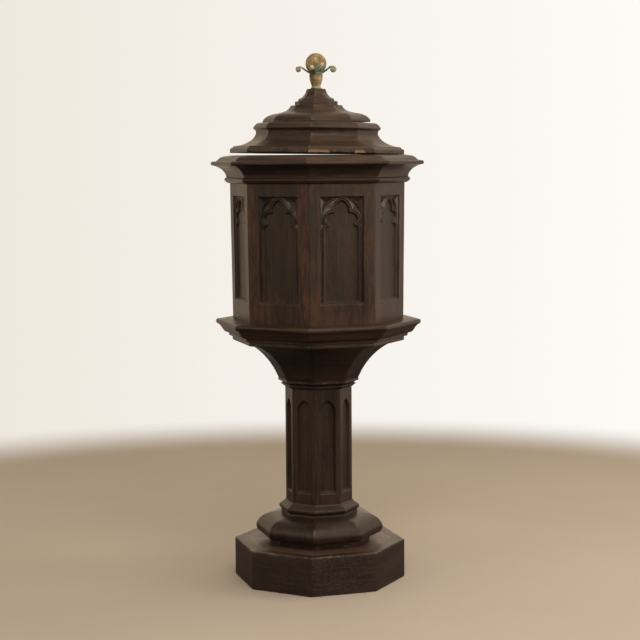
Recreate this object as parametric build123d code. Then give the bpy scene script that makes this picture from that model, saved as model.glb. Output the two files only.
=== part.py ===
from build123d import *
import math
import os

# Octagonal baptismal font: base block, column, corbel, shelf, carved drum, basin, lid, finial.
# Millimetres, +Z up, origin at the centre of the base on the floor. The flats of every octagon
# face +-X, +-Y and the diagonals; the corners stand at 22.5 degrees plus multiples of 45.
# An _R is a corner radius unless the piece is round; an _A is an apothem, centre to flat.

HALF_ANGLE = math.radians(22.5)
COS_HALF = math.cos(HALF_ANGLE)
MITRE_GAP = 0.10          # glue line between two mitred neighbours
SEAT = 0.05               # glue line between stacked pieces

# Levels, from the floor up
BASE_H = 82.0
PLINTH_TOP = 95.5
TORUS_TOP = 140.0
COLLAR_TOP = 168.0
NECK_BOTTOM = 413.4
CORBEL_BOTTOM = 430.6
COL_TOP = 494.0
CORBEL_TOP = 512.0
UNDER_BOARD_TOP = 521.5
SHELF_MOULD_TOP = 545.5
SHELF_TOP = 560.0
DRUM_LEAN_TOP = 846.0     # the drum's faces lean out up to here, then stand upright
BEAD_TOP = 858.0
DRUM_TOP = 884.0
NOSE_TOP = 892.6
RIM_TOP = 904.5
LID_BOTTOM = 907.2
LID_BASE_TOP = 917.2
LID_OGEE_TOP = 947.95
LID_NOSE_BOTTOM = 948.0
DOME_TOP = 1008.0
STEP_TOP = 1016.6
CAP_TOP = 1042.5
CROWN_Z = 1074.0


# ---------------------------------------------------------------------------
# Helpers
# ---------------------------------------------------------------------------
def oct_a(corner_radius):
    """Apothem of an octagon with this corner radius."""
    return corner_radius * COS_HALF


def by_corner(outline):
    """Turn an outline of (corner radius, height) points into (apothem, height)."""
    if isinstance(outline[0], (int, float)):
        return (oct_a(outline[0]), outline[1])
    return type(outline)(by_corner(item) for item in outline)


def profile(outline):
    """Closed face in the XZ plane. A tuple is a straight run to that point, a
    list is a spline through its points, a pair of tuples is an arc through
    the first to the second."""
    def in_xz(point):
        return (point[0], 0, point[1])

    here = outline[0]
    edges = []
    for item in outline[1:]:
        if isinstance(item, list):
            edges.append(Spline([in_xz(here)] + [in_xz(p) for p in item]))
            here = item[-1]
        elif isinstance(item[0], tuple):
            edges.append(ThreePointArc(in_xz(here), in_xz(item[0]), in_xz(item[1])))
            here = item[1]
        else:
            edges.append(Line(in_xz(here), in_xz(item)))
            here = item
    if math.dist(here, outline[0]) > 1e-6:
        edges.append(Line(in_xz(here), in_xz(outline[0])))
    return Face(Wire(edges))


def polygon(*points):
    return Face(Wire(Polyline(*points, close=True).edges()))


def slab(outline, half_len=140.0):
    """The profile run along Y, half_len each way."""
    return extrude(profile(outline), amount=half_len, both=True, dir=(0, 1, 0))


def wedge(z0, z1, reach=300.0):
    """One eighth of the octagon about +X, drawn in by half a glue line."""
    tip = (MITRE_GAP / 2) / math.sin(HALF_ANGLE)
    half = reach * math.tan(HALF_ANGLE)
    outline = polygon((tip, 0, z0), (tip + reach, -half, z0), (tip + reach, half, z0))
    return extrude(outline, amount=z1 - z0, dir=(0, 0, 1))


def largest(shape):
    return max(shape.solids(), key=lambda solid: solid.volume)


def rod(x, y, z0, z1, radius):
    """Upright cylinder from z0 to z1."""
    return Pos(x, y, z0) * Cylinder(
        radius, z1 - z0, align=(Align.CENTER, Align.CENTER, Align.MIN))


def mitred(outline, bore=None):
    """One mitred length on the +X face, from an (apothem, height) outline."""
    body = slab(outline)
    box = body.bounding_box()
    part = body & wedge(box.min.Z - 1, box.max.Z + 1)
    if bore:
        part = part - rod(0, 0, box.min.Z - 5, box.max.Z + 5, bore)
    return largest(part)


def ring(segment):
    return [Rot(0, 0, 45 * k) * segment for k in range(8)]


def moulding(inner_a, outline, bore=None):
    """Ring of eight mitred lengths: a (corner radius, height) outline in front
    of a flat back at apothem inner_a."""
    front = by_corner(outline)
    end = front[-1]
    if isinstance(end[-1], tuple):
        end = end[-1]
    return ring(mitred([(inner_a, front[0][1]), *front, (inner_a, end[1])], bore=bore))


def oct_prism(apothem, z0, z1):
    """Plain octagonal board."""
    return Pos(0, 0, z0) * extrude(
        RegularPolygon(apothem, 8, major_radius=False, rotation=22.5), amount=z1 - z0)


def oct_turned(outline):
    """Body that is an octagon at every level: four crossed extrusions of a
    (corner radius, height) half outline."""
    face = profile(by_corner(outline))
    mirrored = mirror(face, about=Plane.YZ)
    full = extrude(face, amount=260, both=True, dir=(0, 1, 0)) + extrude(
        mirrored, amount=260, both=True, dir=(0, 1, 0))
    body = Rot(0, 0, 0) * full
    for k in range(1, 4):
        body = body & (Rot(0, 0, 45 * k) * full)
    return largest(body)


def corner_blocks(inner_a, depth, z0, z1, clear=0.1):
    """Eight glue blocks, one in each inner corner of an octagonal wall."""
    corner = (inner_a - clear) / COS_HALF
    half = depth * math.tan(math.radians(67.5))
    triangle = polygon((corner, 0, z0), (corner - depth, half, z0), (corner - depth, -half, z0))
    block = extrude(triangle, amount=z1 - z0, dir=(0, 0, 1))
    block = block & Box(400, 2 * half - 8, 4000)    # blunts the two thin ends
    return [Rot(0, 0, 22.5 + 45 * k) * largest(block) for k in range(8)]


def drill(body, spots, *bores):
    """Cut every (z0, z1, radius) bore at every (x, y) spot."""
    for x, y in spots:
        for z0, z1, radius in bores:
            body -= rod(x, y, z0, z1, radius)
    return body


def screws(spots, head, shank):
    """Screws with the given (z0, z1) spans for head and shank."""
    return [largest(rod(x, y, *head, SCREW_HEAD_R) + rod(x, y, *shank, SCREW_SHANK_R))
            for x, y in spots]


def save(name, shapes):
    if not isinstance(shapes, (list, tuple)):
        shapes = [shapes]
    solids = [solid for shape in shapes for solid in shape.solids()]
    out = solids[0] if len(solids) == 1 else Compound(children=solids)
    export_step(out, f"parts/{name}.step")


# ---------------------------------------------------------------------------
# Screws
# ---------------------------------------------------------------------------
SCREW_HEAD_R = 5.6
SCREW_SHANK_R = 2.9
HOLE_R = 3.0
HEAD_HOLE_R = 6.0
HEAD_DEPTH = 4.0          # underside of a screw head below the board's face
HEAD_HOLE_DEPTH = 4.2
COLUMN_SCREW_XY = 24.0
COLUMN_SPOTS = [(sx * COLUMN_SCREW_XY, sy * COLUMN_SCREW_XY) for sx in (-1, 1) for sy in (-1, 1)]
SHELF_SCREW_CIRCLE = 82.0
SHELF_SPOTS = [(SHELF_SCREW_CIRCLE * math.cos(math.radians(90 * k)),
                SHELF_SCREW_CIRCLE * math.sin(math.radians(90 * k))) for k in range(4)]

# ---------------------------------------------------------------------------
# Base block: sides, and a top of eight boards round a core under the column
# ---------------------------------------------------------------------------
COL_A = oct_a(71.5)
BASE_A = oct_a(183.5)
BASE_IN_A = BASE_A - 22.0
BASE_TOP_BOTTOM = BASE_H - 22.0     # underside of the top boards
BASE_CORE_A = COL_A + 0.2


def base_sides():
    return ring(mitred([
        (BASE_IN_A, 0.0), (BASE_A - 1.0, 0.0), (BASE_A, 1.0), (BASE_A, BASE_H - 3.0),
        ((BASE_A - 0.9, BASE_H - 0.9), (BASE_A - 3.0, BASE_H)), (BASE_IN_A, BASE_H),
    ]))


def base_top_ring():
    inner, outer = BASE_CORE_A + 0.1, BASE_IN_A - 0.1
    return ring(mitred([
        (inner, BASE_TOP_BOTTOM), (outer, BASE_TOP_BOTTOM), (outer, BASE_H), (inner, BASE_H),
    ]))


def base_top_board():
    return largest(drill(
        oct_prism(BASE_CORE_A, BASE_TOP_BOTTOM, BASE_H), COLUMN_SPOTS,
        (BASE_TOP_BOTTOM - 1, BASE_H + 1, 3.1),
        (BASE_TOP_BOTTOM - 1, BASE_TOP_BOTTOM + HEAD_HOLE_DEPTH, 6.2)))


def base_corner_blocks():
    return corner_blocks(BASE_IN_A, 17.0, 14.0, BASE_TOP_BOTTOM - SEAT)


def base_screws():
    under_head = BASE_TOP_BOTTOM + HEAD_DEPTH
    return screws(COLUMN_SPOTS, (BASE_TOP_BOTTOM + 0.2, under_head), (under_head, 128.0))


# ---------------------------------------------------------------------------
# Foot of the column: plinth ring, torus ring, astragal collar
# ---------------------------------------------------------------------------
BORE_A = COL_A + 0.12     # back of every ring fitted round the column
PLINTH_A = oct_a(108.0)


def plinth_ring():
    return ring(mitred([
        (BORE_A, BASE_H + SEAT), (PLINTH_A, BASE_H + SEAT), (PLINTH_A, PLINTH_TOP - 0.6),
        (PLINTH_A - 0.6, PLINTH_TOP), (BORE_A, PLINTH_TOP),
    ]))


def torus_ring():
    return moulding(BORE_A, [
        (127.6, PLINTH_TOP + SEAT),
        [(131.8, 97.6), (134.9, 101.6), (136.6, 106.4), (136.9, 110.5), (135.9, 114.9),
         (133.0, 120.2), (128.2, 126.0), (122.0, 130.7), (114.5, 134.2), (106.0, 136.6),
         (95.0, 138.7), (84.5, TORUS_TOP)],
    ])


def column_collar():
    return moulding(BORE_A, [
        (82.2, TORUS_TOP + SEAT), (82.2, 144.4),
        [(81.7, 145.8), (82.2, 147.3), (83.6, 148.5)],
        ((86.6, 153.9), (83.6, 159.3)), (80.4, 160.3), (80.2, 161.3),
        [(77.0, 163.2), (74.6, 165.4), (73.2, COLLAR_TOP)],
    ])


# ---------------------------------------------------------------------------
# Column: eight staves, each with a sunk lancet, on a plug at each end
# ---------------------------------------------------------------------------
COL_IN_A = COL_A - 16.0
LANCET_HALF = 17.0
LANCET_SILL = 190.0
LANCET_SILL_TOP = 203.0
LANCET_SPRING = 364.0
LANCET_APEX = 389.6
LANCET_DEPTH = 6.0
LANCET_ARC = (LANCET_HALF ** 2 + (LANCET_APEX - LANCET_SPRING) ** 2) / (2 * LANCET_HALF)


def lancet_face(x, inset):
    """Pointed arch outline standing in the plane X = x, drawn in by inset."""
    half = LANCET_HALF - inset
    radius = LANCET_ARC - inset
    centre_y = LANCET_HALF - LANCET_ARC
    mid_angle = 0.5 * math.acos(-centre_y / radius)
    mid_y = centre_y + radius * math.cos(mid_angle)
    mid_z = LANCET_SPRING + radius * math.sin(mid_angle)
    foot_l, foot_r = (x, -half, LANCET_SILL), (x, half, LANCET_SILL)
    spring_l, spring_r = (x, -half, LANCET_SPRING), (x, half, LANCET_SPRING)
    apex = (x, 0, LANCET_SPRING + math.sqrt(radius * radius - centre_y * centre_y))
    return Face(Wire([
        Line(foot_l, foot_r),
        Line(foot_r, spring_r),
        ThreePointArc(spring_r, (x, mid_y, mid_z), apex),
        ThreePointArc(apex, (x, -mid_y, mid_z), spring_l),
        Line(spring_l, foot_l),
    ]))


def column_stave():
    """The stave on the +X face."""
    foot = BASE_H + SEAT
    stave = slab([(COL_IN_A, foot), (COL_A, foot), (COL_A, COL_TOP), (COL_IN_A, COL_TOP)])
    stave = stave & wedge(BASE_H - 5, COL_TOP + 5)
    # the lancet's walls draw in as they go down
    back = COL_A - LANCET_DEPTH
    pocket = loft([lancet_face(COL_A + 0.6, -0.25), lancet_face(back, 2.5)])
    sill = slab([
        (back - 1, LANCET_SILL - 8), (COL_A + 2, LANCET_SILL - 8), (COL_A + 2, LANCET_SILL),
        (COL_A, LANCET_SILL), (COL_A - 2.6, LANCET_SILL + 6.0), (COL_A - 3.4, LANCET_SILL + 6.6),
        (back, LANCET_SILL_TOP), (back - 1, LANCET_SILL_TOP),
    ], half_len=40)
    return largest(stave - (pocket - sill))


def column_plug_bottom():
    return largest(drill(oct_prism(COL_IN_A - 0.1, BASE_H + SEAT, 142.0), COLUMN_SPOTS,
                         (BASE_H - 1, 128.3, HOLE_R)))


def column_plug_top():
    return largest(drill(oct_prism(COL_IN_A - 0.1, 440.0, COL_TOP - SEAT), COLUMN_SPOTS,
                         (451.7, COL_TOP + 1, HOLE_R)))


# ---------------------------------------------------------------------------
# Head board, necking and corbel
# ---------------------------------------------------------------------------
HEAD_A = 112.0
HEAD_TOP = CORBEL_TOP - SEAT
CORBEL_ARC = 142.0                      # radius of the cove, in corner-radius terms
CORBEL_FOOT_ANGLE = math.radians(70)    # from straight up
CORBEL_FOOT = (85.0, 428.5)             # (corner radius, height) of the arc at that angle


def column_head_board():
    head = drill(oct_prism(HEAD_A, COL_TOP + SEAT, HEAD_TOP), COLUMN_SPOTS,
                 (COL_TOP - 1, CORBEL_TOP + 1, HOLE_R),
                 (HEAD_TOP - HEAD_HOLE_DEPTH, HEAD_TOP + 1, HEAD_HOLE_R))
    return largest(drill(head, SHELF_SPOTS, (497.5, CORBEL_TOP + 1, HOLE_R)))


def head_screws():
    under_head = HEAD_TOP - HEAD_DEPTH
    return screws(COLUMN_SPOTS, (under_head, HEAD_TOP - 0.2), (452.0, under_head))


def necking_moulding():
    return moulding(BORE_A, [
        (73.4, NECK_BOTTOM), [(75.0, 414.4), (75.9, 416.2)], (76.0, 416.9), (78.2, 417.2),
        ((80.2, 419.0), (78.8, 421.0)), (77.2, 421.4),
        [(77.9, 422.8), (79.7, 424.3), (82.0, 425.4), (84.4, 426.0)],
        (86.2, 426.3), (86.4, 430.0), (85.9, CORBEL_BOTTOM - SEAT),
    ])


def corbel_segments():
    centre_r = CORBEL_FOOT[0] + CORBEL_ARC * math.sin(CORBEL_FOOT_ANGLE)
    centre_z = CORBEL_FOOT[1] - CORBEL_ARC * math.cos(CORBEL_FOOT_ANGLE)
    start = math.acos((CORBEL_BOTTOM + 0.4 - centre_z) / CORBEL_ARC)
    end = math.acos((HEAD_TOP - centre_z) / CORBEL_ARC)
    cove = []
    for i in range(13):
        angle = start + (end - start) * i / 12
        cove.append((centre_r - CORBEL_ARC * math.sin(angle),
                     centre_z + CORBEL_ARC * math.cos(angle)))
    return ring(mitred([
        (BORE_A, CORBEL_BOTTOM),
        *by_corner([(cove[0][0], CORBEL_BOTTOM), cove[0], cove[1:]]),
        (HEAD_A + 0.15, HEAD_TOP), (HEAD_A + 0.15, COL_TOP - 0.5), (BORE_A, 456.0),
    ]))


# ---------------------------------------------------------------------------
# Shelf, with the drum's floor let into its frame
# ---------------------------------------------------------------------------
FLOOR_A = 120.0
FLOOR_TOP = SHELF_TOP - 1.0


def shelf_under_board():
    board = oct_turned([
        (0, CORBEL_TOP), (181.6, CORBEL_TOP), [(183.2, 512.6), (184.0, 514.2)],
        (184.0, UNDER_BOARD_TOP - SEAT), (0, UNDER_BOARD_TOP - SEAT),
    ])
    return largest(drill(board, SHELF_SPOTS, (CORBEL_TOP - 1, UNDER_BOARD_TOP + 1, HOLE_R)))


def shelf_moulding():
    return moulding(oct_a(158.0), [
        (189.6, UNDER_BOARD_TOP), (191.4, 522.6), (191.6, 527.0), (193.0, 528.2), (195.6, 528.7),
        [(199.2, 529.8), (202.4, 532.2), (204.9, 535.6), (207.2, 539.0), (209.6, 542.2),
         (212.2, 545.0)],
        (212.4, SHELF_MOULD_TOP),
    ])


def shelf_frame():
    return moulding(FLOOR_A, [
        (213.0, SHELF_MOULD_TOP + SEAT), (216.6, 547.4),
        ((219.3, 552.4), (216.6, 557.6)), (184.0, SHELF_TOP),
    ])


def drum_floor():
    return largest(drill(
        oct_prism(FLOOR_A - 0.1, SHELF_MOULD_TOP + SEAT, FLOOR_TOP), SHELF_SPOTS,
        (SHELF_MOULD_TOP - 1, SHELF_TOP + 1, HOLE_R),
        (FLOOR_TOP - HEAD_HOLE_DEPTH, FLOOR_TOP + 1, HEAD_HOLE_R)))


def shelf_spacer_blocks():
    blocks = []
    for k, (x, y) in enumerate(SHELF_SPOTS):
        block = Pos(x, y, (UNDER_BOARD_TOP + SHELF_MOULD_TOP) / 2) * Rot(0, 0, 90 * k) * Box(
            40, 70, SHELF_MOULD_TOP - UNDER_BOARD_TOP - 2 * SEAT)
        hole = (UNDER_BOARD_TOP - 1, SHELF_MOULD_TOP + 1, HOLE_R)
        blocks.append(largest(drill(block, [(x, y)], hole)))
    return blocks


def shelf_screws():
    under_head = FLOOR_TOP - HEAD_DEPTH
    return screws(SHELF_SPOTS, (under_head, FLOOR_TOP - 0.3), (498.0, under_head))


# ---------------------------------------------------------------------------
# Drum: eight carved staves
# ---------------------------------------------------------------------------
DRUM_BOTTOM = SHELF_TOP + SEAT
DRUM_BOTTOM_A = oct_a(182.35)
DRUM_TOP_A = oct_a(185.5)
DRUM_WALL = 22.0
DRUM_LEAN = math.atan2(DRUM_TOP_A - DRUM_BOTTOM_A, DRUM_LEAN_TOP - DRUM_BOTTOM)
# carving plane: x runs across the face to the right as seen from outside, y up it
CARVING = Plane(
    origin=(DRUM_BOTTOM_A - DRUM_BOTTOM * math.tan(DRUM_LEAN), 0, 0), x_dir=(0, 1, 0),
    z_dir=(math.cos(DRUM_LEAN), 0, -math.sin(DRUM_LEAN)),
)
CUTTER_RISE = 1.0         # how far cutters stand out of the face

PANEL_HALF = 46.0
PANEL_BOTTOM = 601.0
PANEL_TOP = 820.0
RIB_DEPTH = 3.0           # down to the top of the ribs
FIELD_DEPTH = 7.0
GROOVE_DEPTH = 5.2
SPANDREL_DEPTH = 6.0
CRESCENT_DEPTH = 5.5
GROOVE_INNER = 41.0
GROOVE_TOP = 764.0
JAMB_HALF = 35.8
# foils and shoulder of the right half: centre on the carving plane, radius
SIDE_FOIL = ((24.6, 776.0), 10.0)
TOP_FOIL = ((-4.4, 787.6), 21.8)
SHOULDER = ((24.6, 749.0), 11.2)


# A carving outline is a list of runs: two points are a line, three an arc.
def cut_out(runs, depth):
    """Straight-walled cutter down to depth below the carving plane."""
    edges = []
    for run in runs:
        points = [CARVING.from_local_coords((x, y, CUTTER_RISE)) for x, y in run]
        edges.append(Line(*points) if len(points) == 2 else ThreePointArc(*points))
    out = CARVING.z_dir
    return extrude(Face(Wire(edges)), amount=CUTTER_RISE + depth, dir=(-out.X, -out.Y, -out.Z))


def arc_run(centre, radius, start, end):
    """Start, middle and end of an arc, angles in degrees."""
    angles = [math.radians(a) for a in (start, 0.5 * (start + end), end)]
    return [(centre[0] + radius * math.cos(a), centre[1] + radius * math.sin(a))
            for a in angles]


def polyline_runs(*points):
    """Closed outline of straight runs."""
    return [[start, end] for start, end in zip(points, points[1:] + points[:1])]


def mirror_x(runs):
    return [[(-x, y) for x, y in reversed(run)] for run in reversed(runs)]


def tracery_right():
    """Right half of the field inside the ribs: straight jamb, quarter-round
    shoulder, round side foil, pointed top foil."""
    (top_x, _), top_radius = TOP_FOIL
    apex_angle = math.degrees(math.acos(-top_x / top_radius))
    top = arc_run(*TOP_FOIL, -8.0, apex_angle)
    side = arc_run(*SIDE_FOIL, -82.0, 142.0)
    shoulder = arc_run(*SHOULDER, 0.0, 82.0)
    foot = PANEL_BOTTOM + 6.0
    return [
        [(0, foot), (JAMB_HALF, foot)],
        [(JAMB_HALF, foot), shoulder[0]],
        shoulder,
        [shoulder[2], side[0]],
        side,
        [side[2], top[0]],
        top,
    ]


def drum_panel():
    """The carved stave on the +X face."""
    top = DRUM_TOP - SEAT
    panel = slab([
        (DRUM_BOTTOM_A - DRUM_WALL, DRUM_BOTTOM), (DRUM_BOTTOM_A, DRUM_BOTTOM),
        (DRUM_TOP_A, DRUM_LEAN_TOP), (DRUM_TOP_A, top), (DRUM_TOP_A - DRUM_WALL, top),
    ])
    panel = panel & wedge(DRUM_BOTTOM - 5, DRUM_TOP + 5)

    recess = polyline_runs((-PANEL_HALF, PANEL_BOTTOM), (PANEL_HALF, PANEL_BOTTOM),
                           (PANEL_HALF, PANEL_TOP), (-PANEL_HALF, PANEL_TOP))
    tracery = tracery_right()
    # between the jamb ribs and the wall of the recess
    groove_foot = PANEL_BOTTOM + 4
    groove = polyline_runs((GROOVE_INNER, groove_foot), (PANEL_HALF, groove_foot),
                           (PANEL_HALF, GROOVE_TOP), (GROOVE_INNER, GROOVE_TOP))
    spandrel = [
        [(43.5, 817.0), (14.0, 817.0)],
        [(14.0, 817.0), (31.5, 808.0), (43.5, 792.0)],
        [(43.5, 792.0), (43.5, 817.0)],
    ]
    # between the outer arch and the foils
    crescent = [
        [(4.0, 812.5), (26.0, 803.0), (38.5, 784.0)],
        [(38.5, 784.0), (31.5, 791.5), (22.5, 792.5)],
        [(22.5, 792.5), (16.0, 803.5), (4.0, 812.5)],
    ]
    cuts = [(recess, RIB_DEPTH), (tracery + mirror_x(tracery), FIELD_DEPTH)]
    for runs, depth in ((groove, GROOVE_DEPTH), (spandrel, SPANDREL_DEPTH),
                        (crescent, CRESCENT_DEPTH)):
        cuts += [(runs, depth), (mirror_x(runs), depth)]
    for runs, depth in cuts:
        panel = panel - cut_out(runs, depth)

    # bevelled sill at the foot of the field: (height up the face, depth) points
    sill_end = -PANEL_HALF + 0.01
    sill = polygon(*[
        CARVING.from_local_coords((sill_end, PANEL_BOTTOM + up, -depth))
        for up, depth in ((0, FIELD_DEPTH), (0, 0.6), (1.2, 0.6), (7.0, FIELD_DEPTH))])
    sill_bar = extrude(sill, amount=2 * PANEL_HALF - 0.02, dir=(0, 1, 0))
    return largest(panel + sill_bar)


def drum_floor_blocks():
    return corner_blocks(DRUM_BOTTOM_A - DRUM_WALL - 0.05, 17.0, DRUM_BOTTOM, 600.0)


def drum_rim_blocks():
    return corner_blocks(DRUM_TOP_A - DRUM_WALL - 0.45, 14.0, 850.0, DRUM_TOP - SEAT)


# ---------------------------------------------------------------------------
# Cornice and rim
# ---------------------------------------------------------------------------
CORNICE_BACK_A = DRUM_TOP_A + SEAT
OPENING_R = 152.0         # round opening in the top frame
LEDGE_R = 143.0           # smaller round opening below it, leaving a ledge


def cornice_bead():
    return moulding(CORNICE_BACK_A, [
        (187.8, DRUM_LEAN_TOP),
        [(191.2, 847.2), (194.4, 849.5), (196.6, 851.9), (197.3, 854.1), (196.4, 856.4),
         (194.6, BEAD_TOP)],
    ])


def cornice_cove():
    return moulding(CORNICE_BACK_A, [
        (193.2, BEAD_TOP + SEAT), (193.2, 859.8),
        [(194.0, 863.2), (195.7, 866.8), (198.1, 870.3), (201.0, 873.5), (204.8, 876.5),
         (209.6, 879.3), (214.8, 881.6), (220.2, 883.2)],
        (222.8, DRUM_TOP - SEAT),
    ])


def rim_nose_frame():
    return moulding(oct_a(140), [
        (224.0, DRUM_TOP), ((226.2, 887.9), (223.8, 891.8)), (215.0, NOSE_TOP),
    ], bore=LEDGE_R)


def rim_top_frame():
    return moulding(oct_a(150), [
        (214.8, NOSE_TOP + SEAT), (214.4, 893.4),
        [(212.4, 894.6), (210.0, 896.8), (207.2, 899.0), (204.0, 900.9), (200.0, 902.2)],
        (187.0, 904.2), (184.0, RIM_TOP),
    ], bore=OPENING_R)


# ---------------------------------------------------------------------------
# Basin: round bowl with a flat flange and a rolled edge, standing on the ledge
# ---------------------------------------------------------------------------
FLANGE_R = 150.5
FLANGE_Z = NOSE_TOP + 0.1
BASIN_BOTTOM = FLANGE_Z - 108.0
BASIN_T = 1.5


def basin():
    flange, bottom = FLANGE_Z, BASIN_BOTTOM
    return largest(revolve(profile([
        (0.0, bottom), (58.0, bottom),
        [(84.0, bottom + 5.0), (110.0, bottom + 22.0), (128.0, bottom + 48.0),
         (138.0, bottom + 82.0), (141.6, flange - 3.0)],
        (142.0, flange), (FLANGE_R - 2.6, flange),
        ((FLANGE_R, flange + 2.6), (FLANGE_R - 2.6, flange + 5.2)),
        ((FLANGE_R - 4.4, flange + 4.4), (FLANGE_R - 5.2, flange + 2.6)),
        (FLANGE_R - 5.4, flange + BASIN_T), (140.6, flange + BASIN_T),
        [(136.4, bottom + 82.4), (126.6, bottom + 48.8), (109.0, bottom + 23.4),
         (83.6, bottom + 6.6), (58.0, bottom + BASIN_T)],
        (0.0, bottom + BASIN_T),
    ]), axis=Axis.Z))


# ---------------------------------------------------------------------------
# Lid. The lower ring is loose and leans: it bears on the rim at +X and stands
# clear of it at -X. The dome stays level.
# ---------------------------------------------------------------------------
LID_TILT = 0.86           # degrees
LID_TILT_AXIS = Axis((0, 0, LID_BOTTOM), (0.0, 1.0, 0.0))
NOSE_RING_IN_A = oct_a(98)
DOME_FOOT = 971.52        # foot of the dome on the font's axis, a glue line above the ring
DOME_OPEN_X = 30.0        # beyond this the dome and the leaning ring part company
DOME_OPEN = 0.035         # how fast they do, millimetres per millimetre
STUD_R = 4.0
STUD_HOLE_R = STUD_R + 0.3


def leaning(parts):
    return [part.rotate(LID_TILT_AXIS, LID_TILT) for part in parts]


def lid_base_frame():
    return leaning(moulding(oct_a(146), [
        (183.6, LID_BOTTOM), (184.7, LID_BOTTOM + 1.2), (184.7, 915.6),
        ((184.2, 916.6), (182.8, LID_BASE_TOP)),
    ]))


def lid_ogee_ring():
    foot = LID_BASE_TOP + SEAT
    return leaning(ring(mitred(by_corner([
        (146, foot), (181.6, foot), (181.4, 917.9),
        [(179.4, 918.6), (178.0, 920.2)], (177.4, 921.4),
        [(170.0, 922.4), (163.0, 923.6), (156.0, 925.7), (149.0, 928.8), (142.4, 932.5),
         (137.2, 936.4), (133.6, 940.4), (131.0, 944.4), (129.4, LID_OGEE_TOP)],
        (106, LID_OGEE_TOP), (110, 940.0),
    ]))))


def lid_nose_ring():
    return leaning(moulding(NOSE_RING_IN_A, [
        (129.3, LID_NOSE_BOTTOM), (129.3, 951.4), [(130.0, 954.0), (131.6, 956.2), (133.8, 957.6)],
        ((135.4, 959.8), (134.3, 962.2)),
        [(131.6, 965.8), (128.8, 968.6), (125.4, 970.6)], (121, 971.4),
    ]))


def lid_inner_board():
    board = oct_prism(NOSE_RING_IN_A - 0.15, 955.0, 968.0) - rod(0, 0, 950, 980, 7.0)
    return leaning([largest(board)])


def lid_dome_segments():
    # the foot follows the leaning ring, then opens away from it towards +X
    slope = math.tan(math.radians(LID_TILT))
    reach = 200.0
    below = slab([
        (-reach, DOME_FOOT + reach * slope), (DOME_OPEN_X, DOME_FOOT - DOME_OPEN_X * slope),
        (reach, DOME_FOOT - reach * slope + DOME_OPEN * (reach - DOME_OPEN_X)),
        (reach, 900.0), (-reach, 900.0),
    ], half_len=reach)
    segment = mitred(by_corner([
        (46, 969.2), (114.0, 969.2), (114.2, 975.6),
        [(112.6, 978.6), (109.8, 981.8), (106.2, 984.7), (101.8, 987.1), (96.0, 989.2),
         (89.0, 990.9), (81.5, 992.3), (74.0, 993.8), (67.4, 995.8), (62.2, 998.4),
         (58.4, 1001.6), (55.6, 1005.2), (54.4, DOME_TOP - 0.3)],
        (54.0, DOME_TOP), (20, DOME_TOP), (20, 998.0),
    ]))
    return [largest(placed - below) for placed in ring(segment)]


def lid_step():
    return largest(oct_turned([
        (0, DOME_TOP + SEAT), (46.0, DOME_TOP + SEAT), (45.7, 1009.6), (45.5, 1015.4),
        (44.8, STEP_TOP), (0, STEP_TOP),
    ]) - rod(0, 0, 1000, 1030, STUD_HOLE_R))


def lid_cap():
    return largest(oct_turned([
        (0, STEP_TOP + SEAT), (38.8, STEP_TOP + SEAT), (38.6, 1018.6),
        [(38.0, 1020.4), (36.6, 1022.0)], (35.4, 1022.7),
        [(31.6, 1024.3), (28.2, 1026.8), (25.2, 1030.2), (22.9, 1034.2), (21.4, 1038.4)],
        (20.6, 1040.6), (19.0, CAP_TOP), (0, CAP_TOP),
    ]) - rod(0, 0, 1000, 1060, STUD_HOLE_R))


# ---------------------------------------------------------------------------
# Finial: turned neck, leaf crown, ball, with a stud, washer and nut
# ---------------------------------------------------------------------------
BALL_R = 22.1
BALL_Z = 1094.8
CROWN_TURN = -31.4        # the leaf crown was screwed up a little past square
CROWN_T = 2.9
NUT_Z = 945.0


def finial_neck():
    neck = revolve(profile([
        (0, CAP_TOP + SEAT), (10.8, CAP_TOP + SEAT), ((11.4, 1043.9), (10.2, 1045.2)),
        [(9.4, 1046.6), (9.9, 1050.0), (11.9, 1056.0), (13.5, 1061.6), (13.9, 1066.0),
         (13.9, 1070.4), (13.6, CROWN_Z - SEAT)],
        (0, CROWN_Z - SEAT),
    ]), axis=Axis.Z)
    return largest(neck - rod(0, 0, 1040, 1062, STUD_R))


def finial_leaf_crown():
    # one leaf: (radius, height above the crown's foot), over the top and back underneath
    over = [(19.0, 5.4), (25.0, 10.4), (30.0, 14.0), (35.6, 15.4), (41.0, 13.8),
            (43.6, 9.6), (41.8, 6.2), (38.4, 6.8), (37.2, 9.6)]
    under = [(35.0, 11.4), (31.6, 10.6), (27.0, 7.2), (21.0, 2.0), (14.0, 0.0)]
    leaf = extrude(profile([
        (8.0, CROWN_Z), (8.0, CROWN_Z + CROWN_T), (13.0, CROWN_Z + CROWN_T),
        [(x, CROWN_Z + z) for x, z in over],
        [(x, CROWN_Z + z) for x, z in under],
    ]), amount=4.2, both=True, dir=(0, 1, 0))
    crown = rod(0, 0, CROWN_Z, CROWN_Z + CROWN_T, 13.8)
    for k in range(4):
        crown = crown + Rot(0, 0, CROWN_TURN + 90 * k) * leaf
    return largest(crown - rod(0, 0, CROWN_Z - 5, CROWN_Z + 10, 3.2))


def finial_ball():
    """Ball cut flat just above the crown, with a peg into it."""
    ball = Pos(0, 0, BALL_Z) * Sphere(BALL_R)
    ball = ball & (Pos(0, 0, CROWN_Z + CROWN_T + SEAT + 50) * Box(100, 100, 100))
    return largest(ball + rod(0, 0, CROWN_Z + 0.5, CROWN_Z + 4, 3.0))


def finial_stud():
    return largest(rod(0, 0, 941.0, 1061.5, STUD_R - 0.05))


def finial_washer():
    return largest(rod(0, 0, NUT_Z + 7.2, NUT_Z + 9.2, 13.0)
                   - rod(0, 0, NUT_Z, NUT_Z + 20, STUD_HOLE_R))


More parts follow.
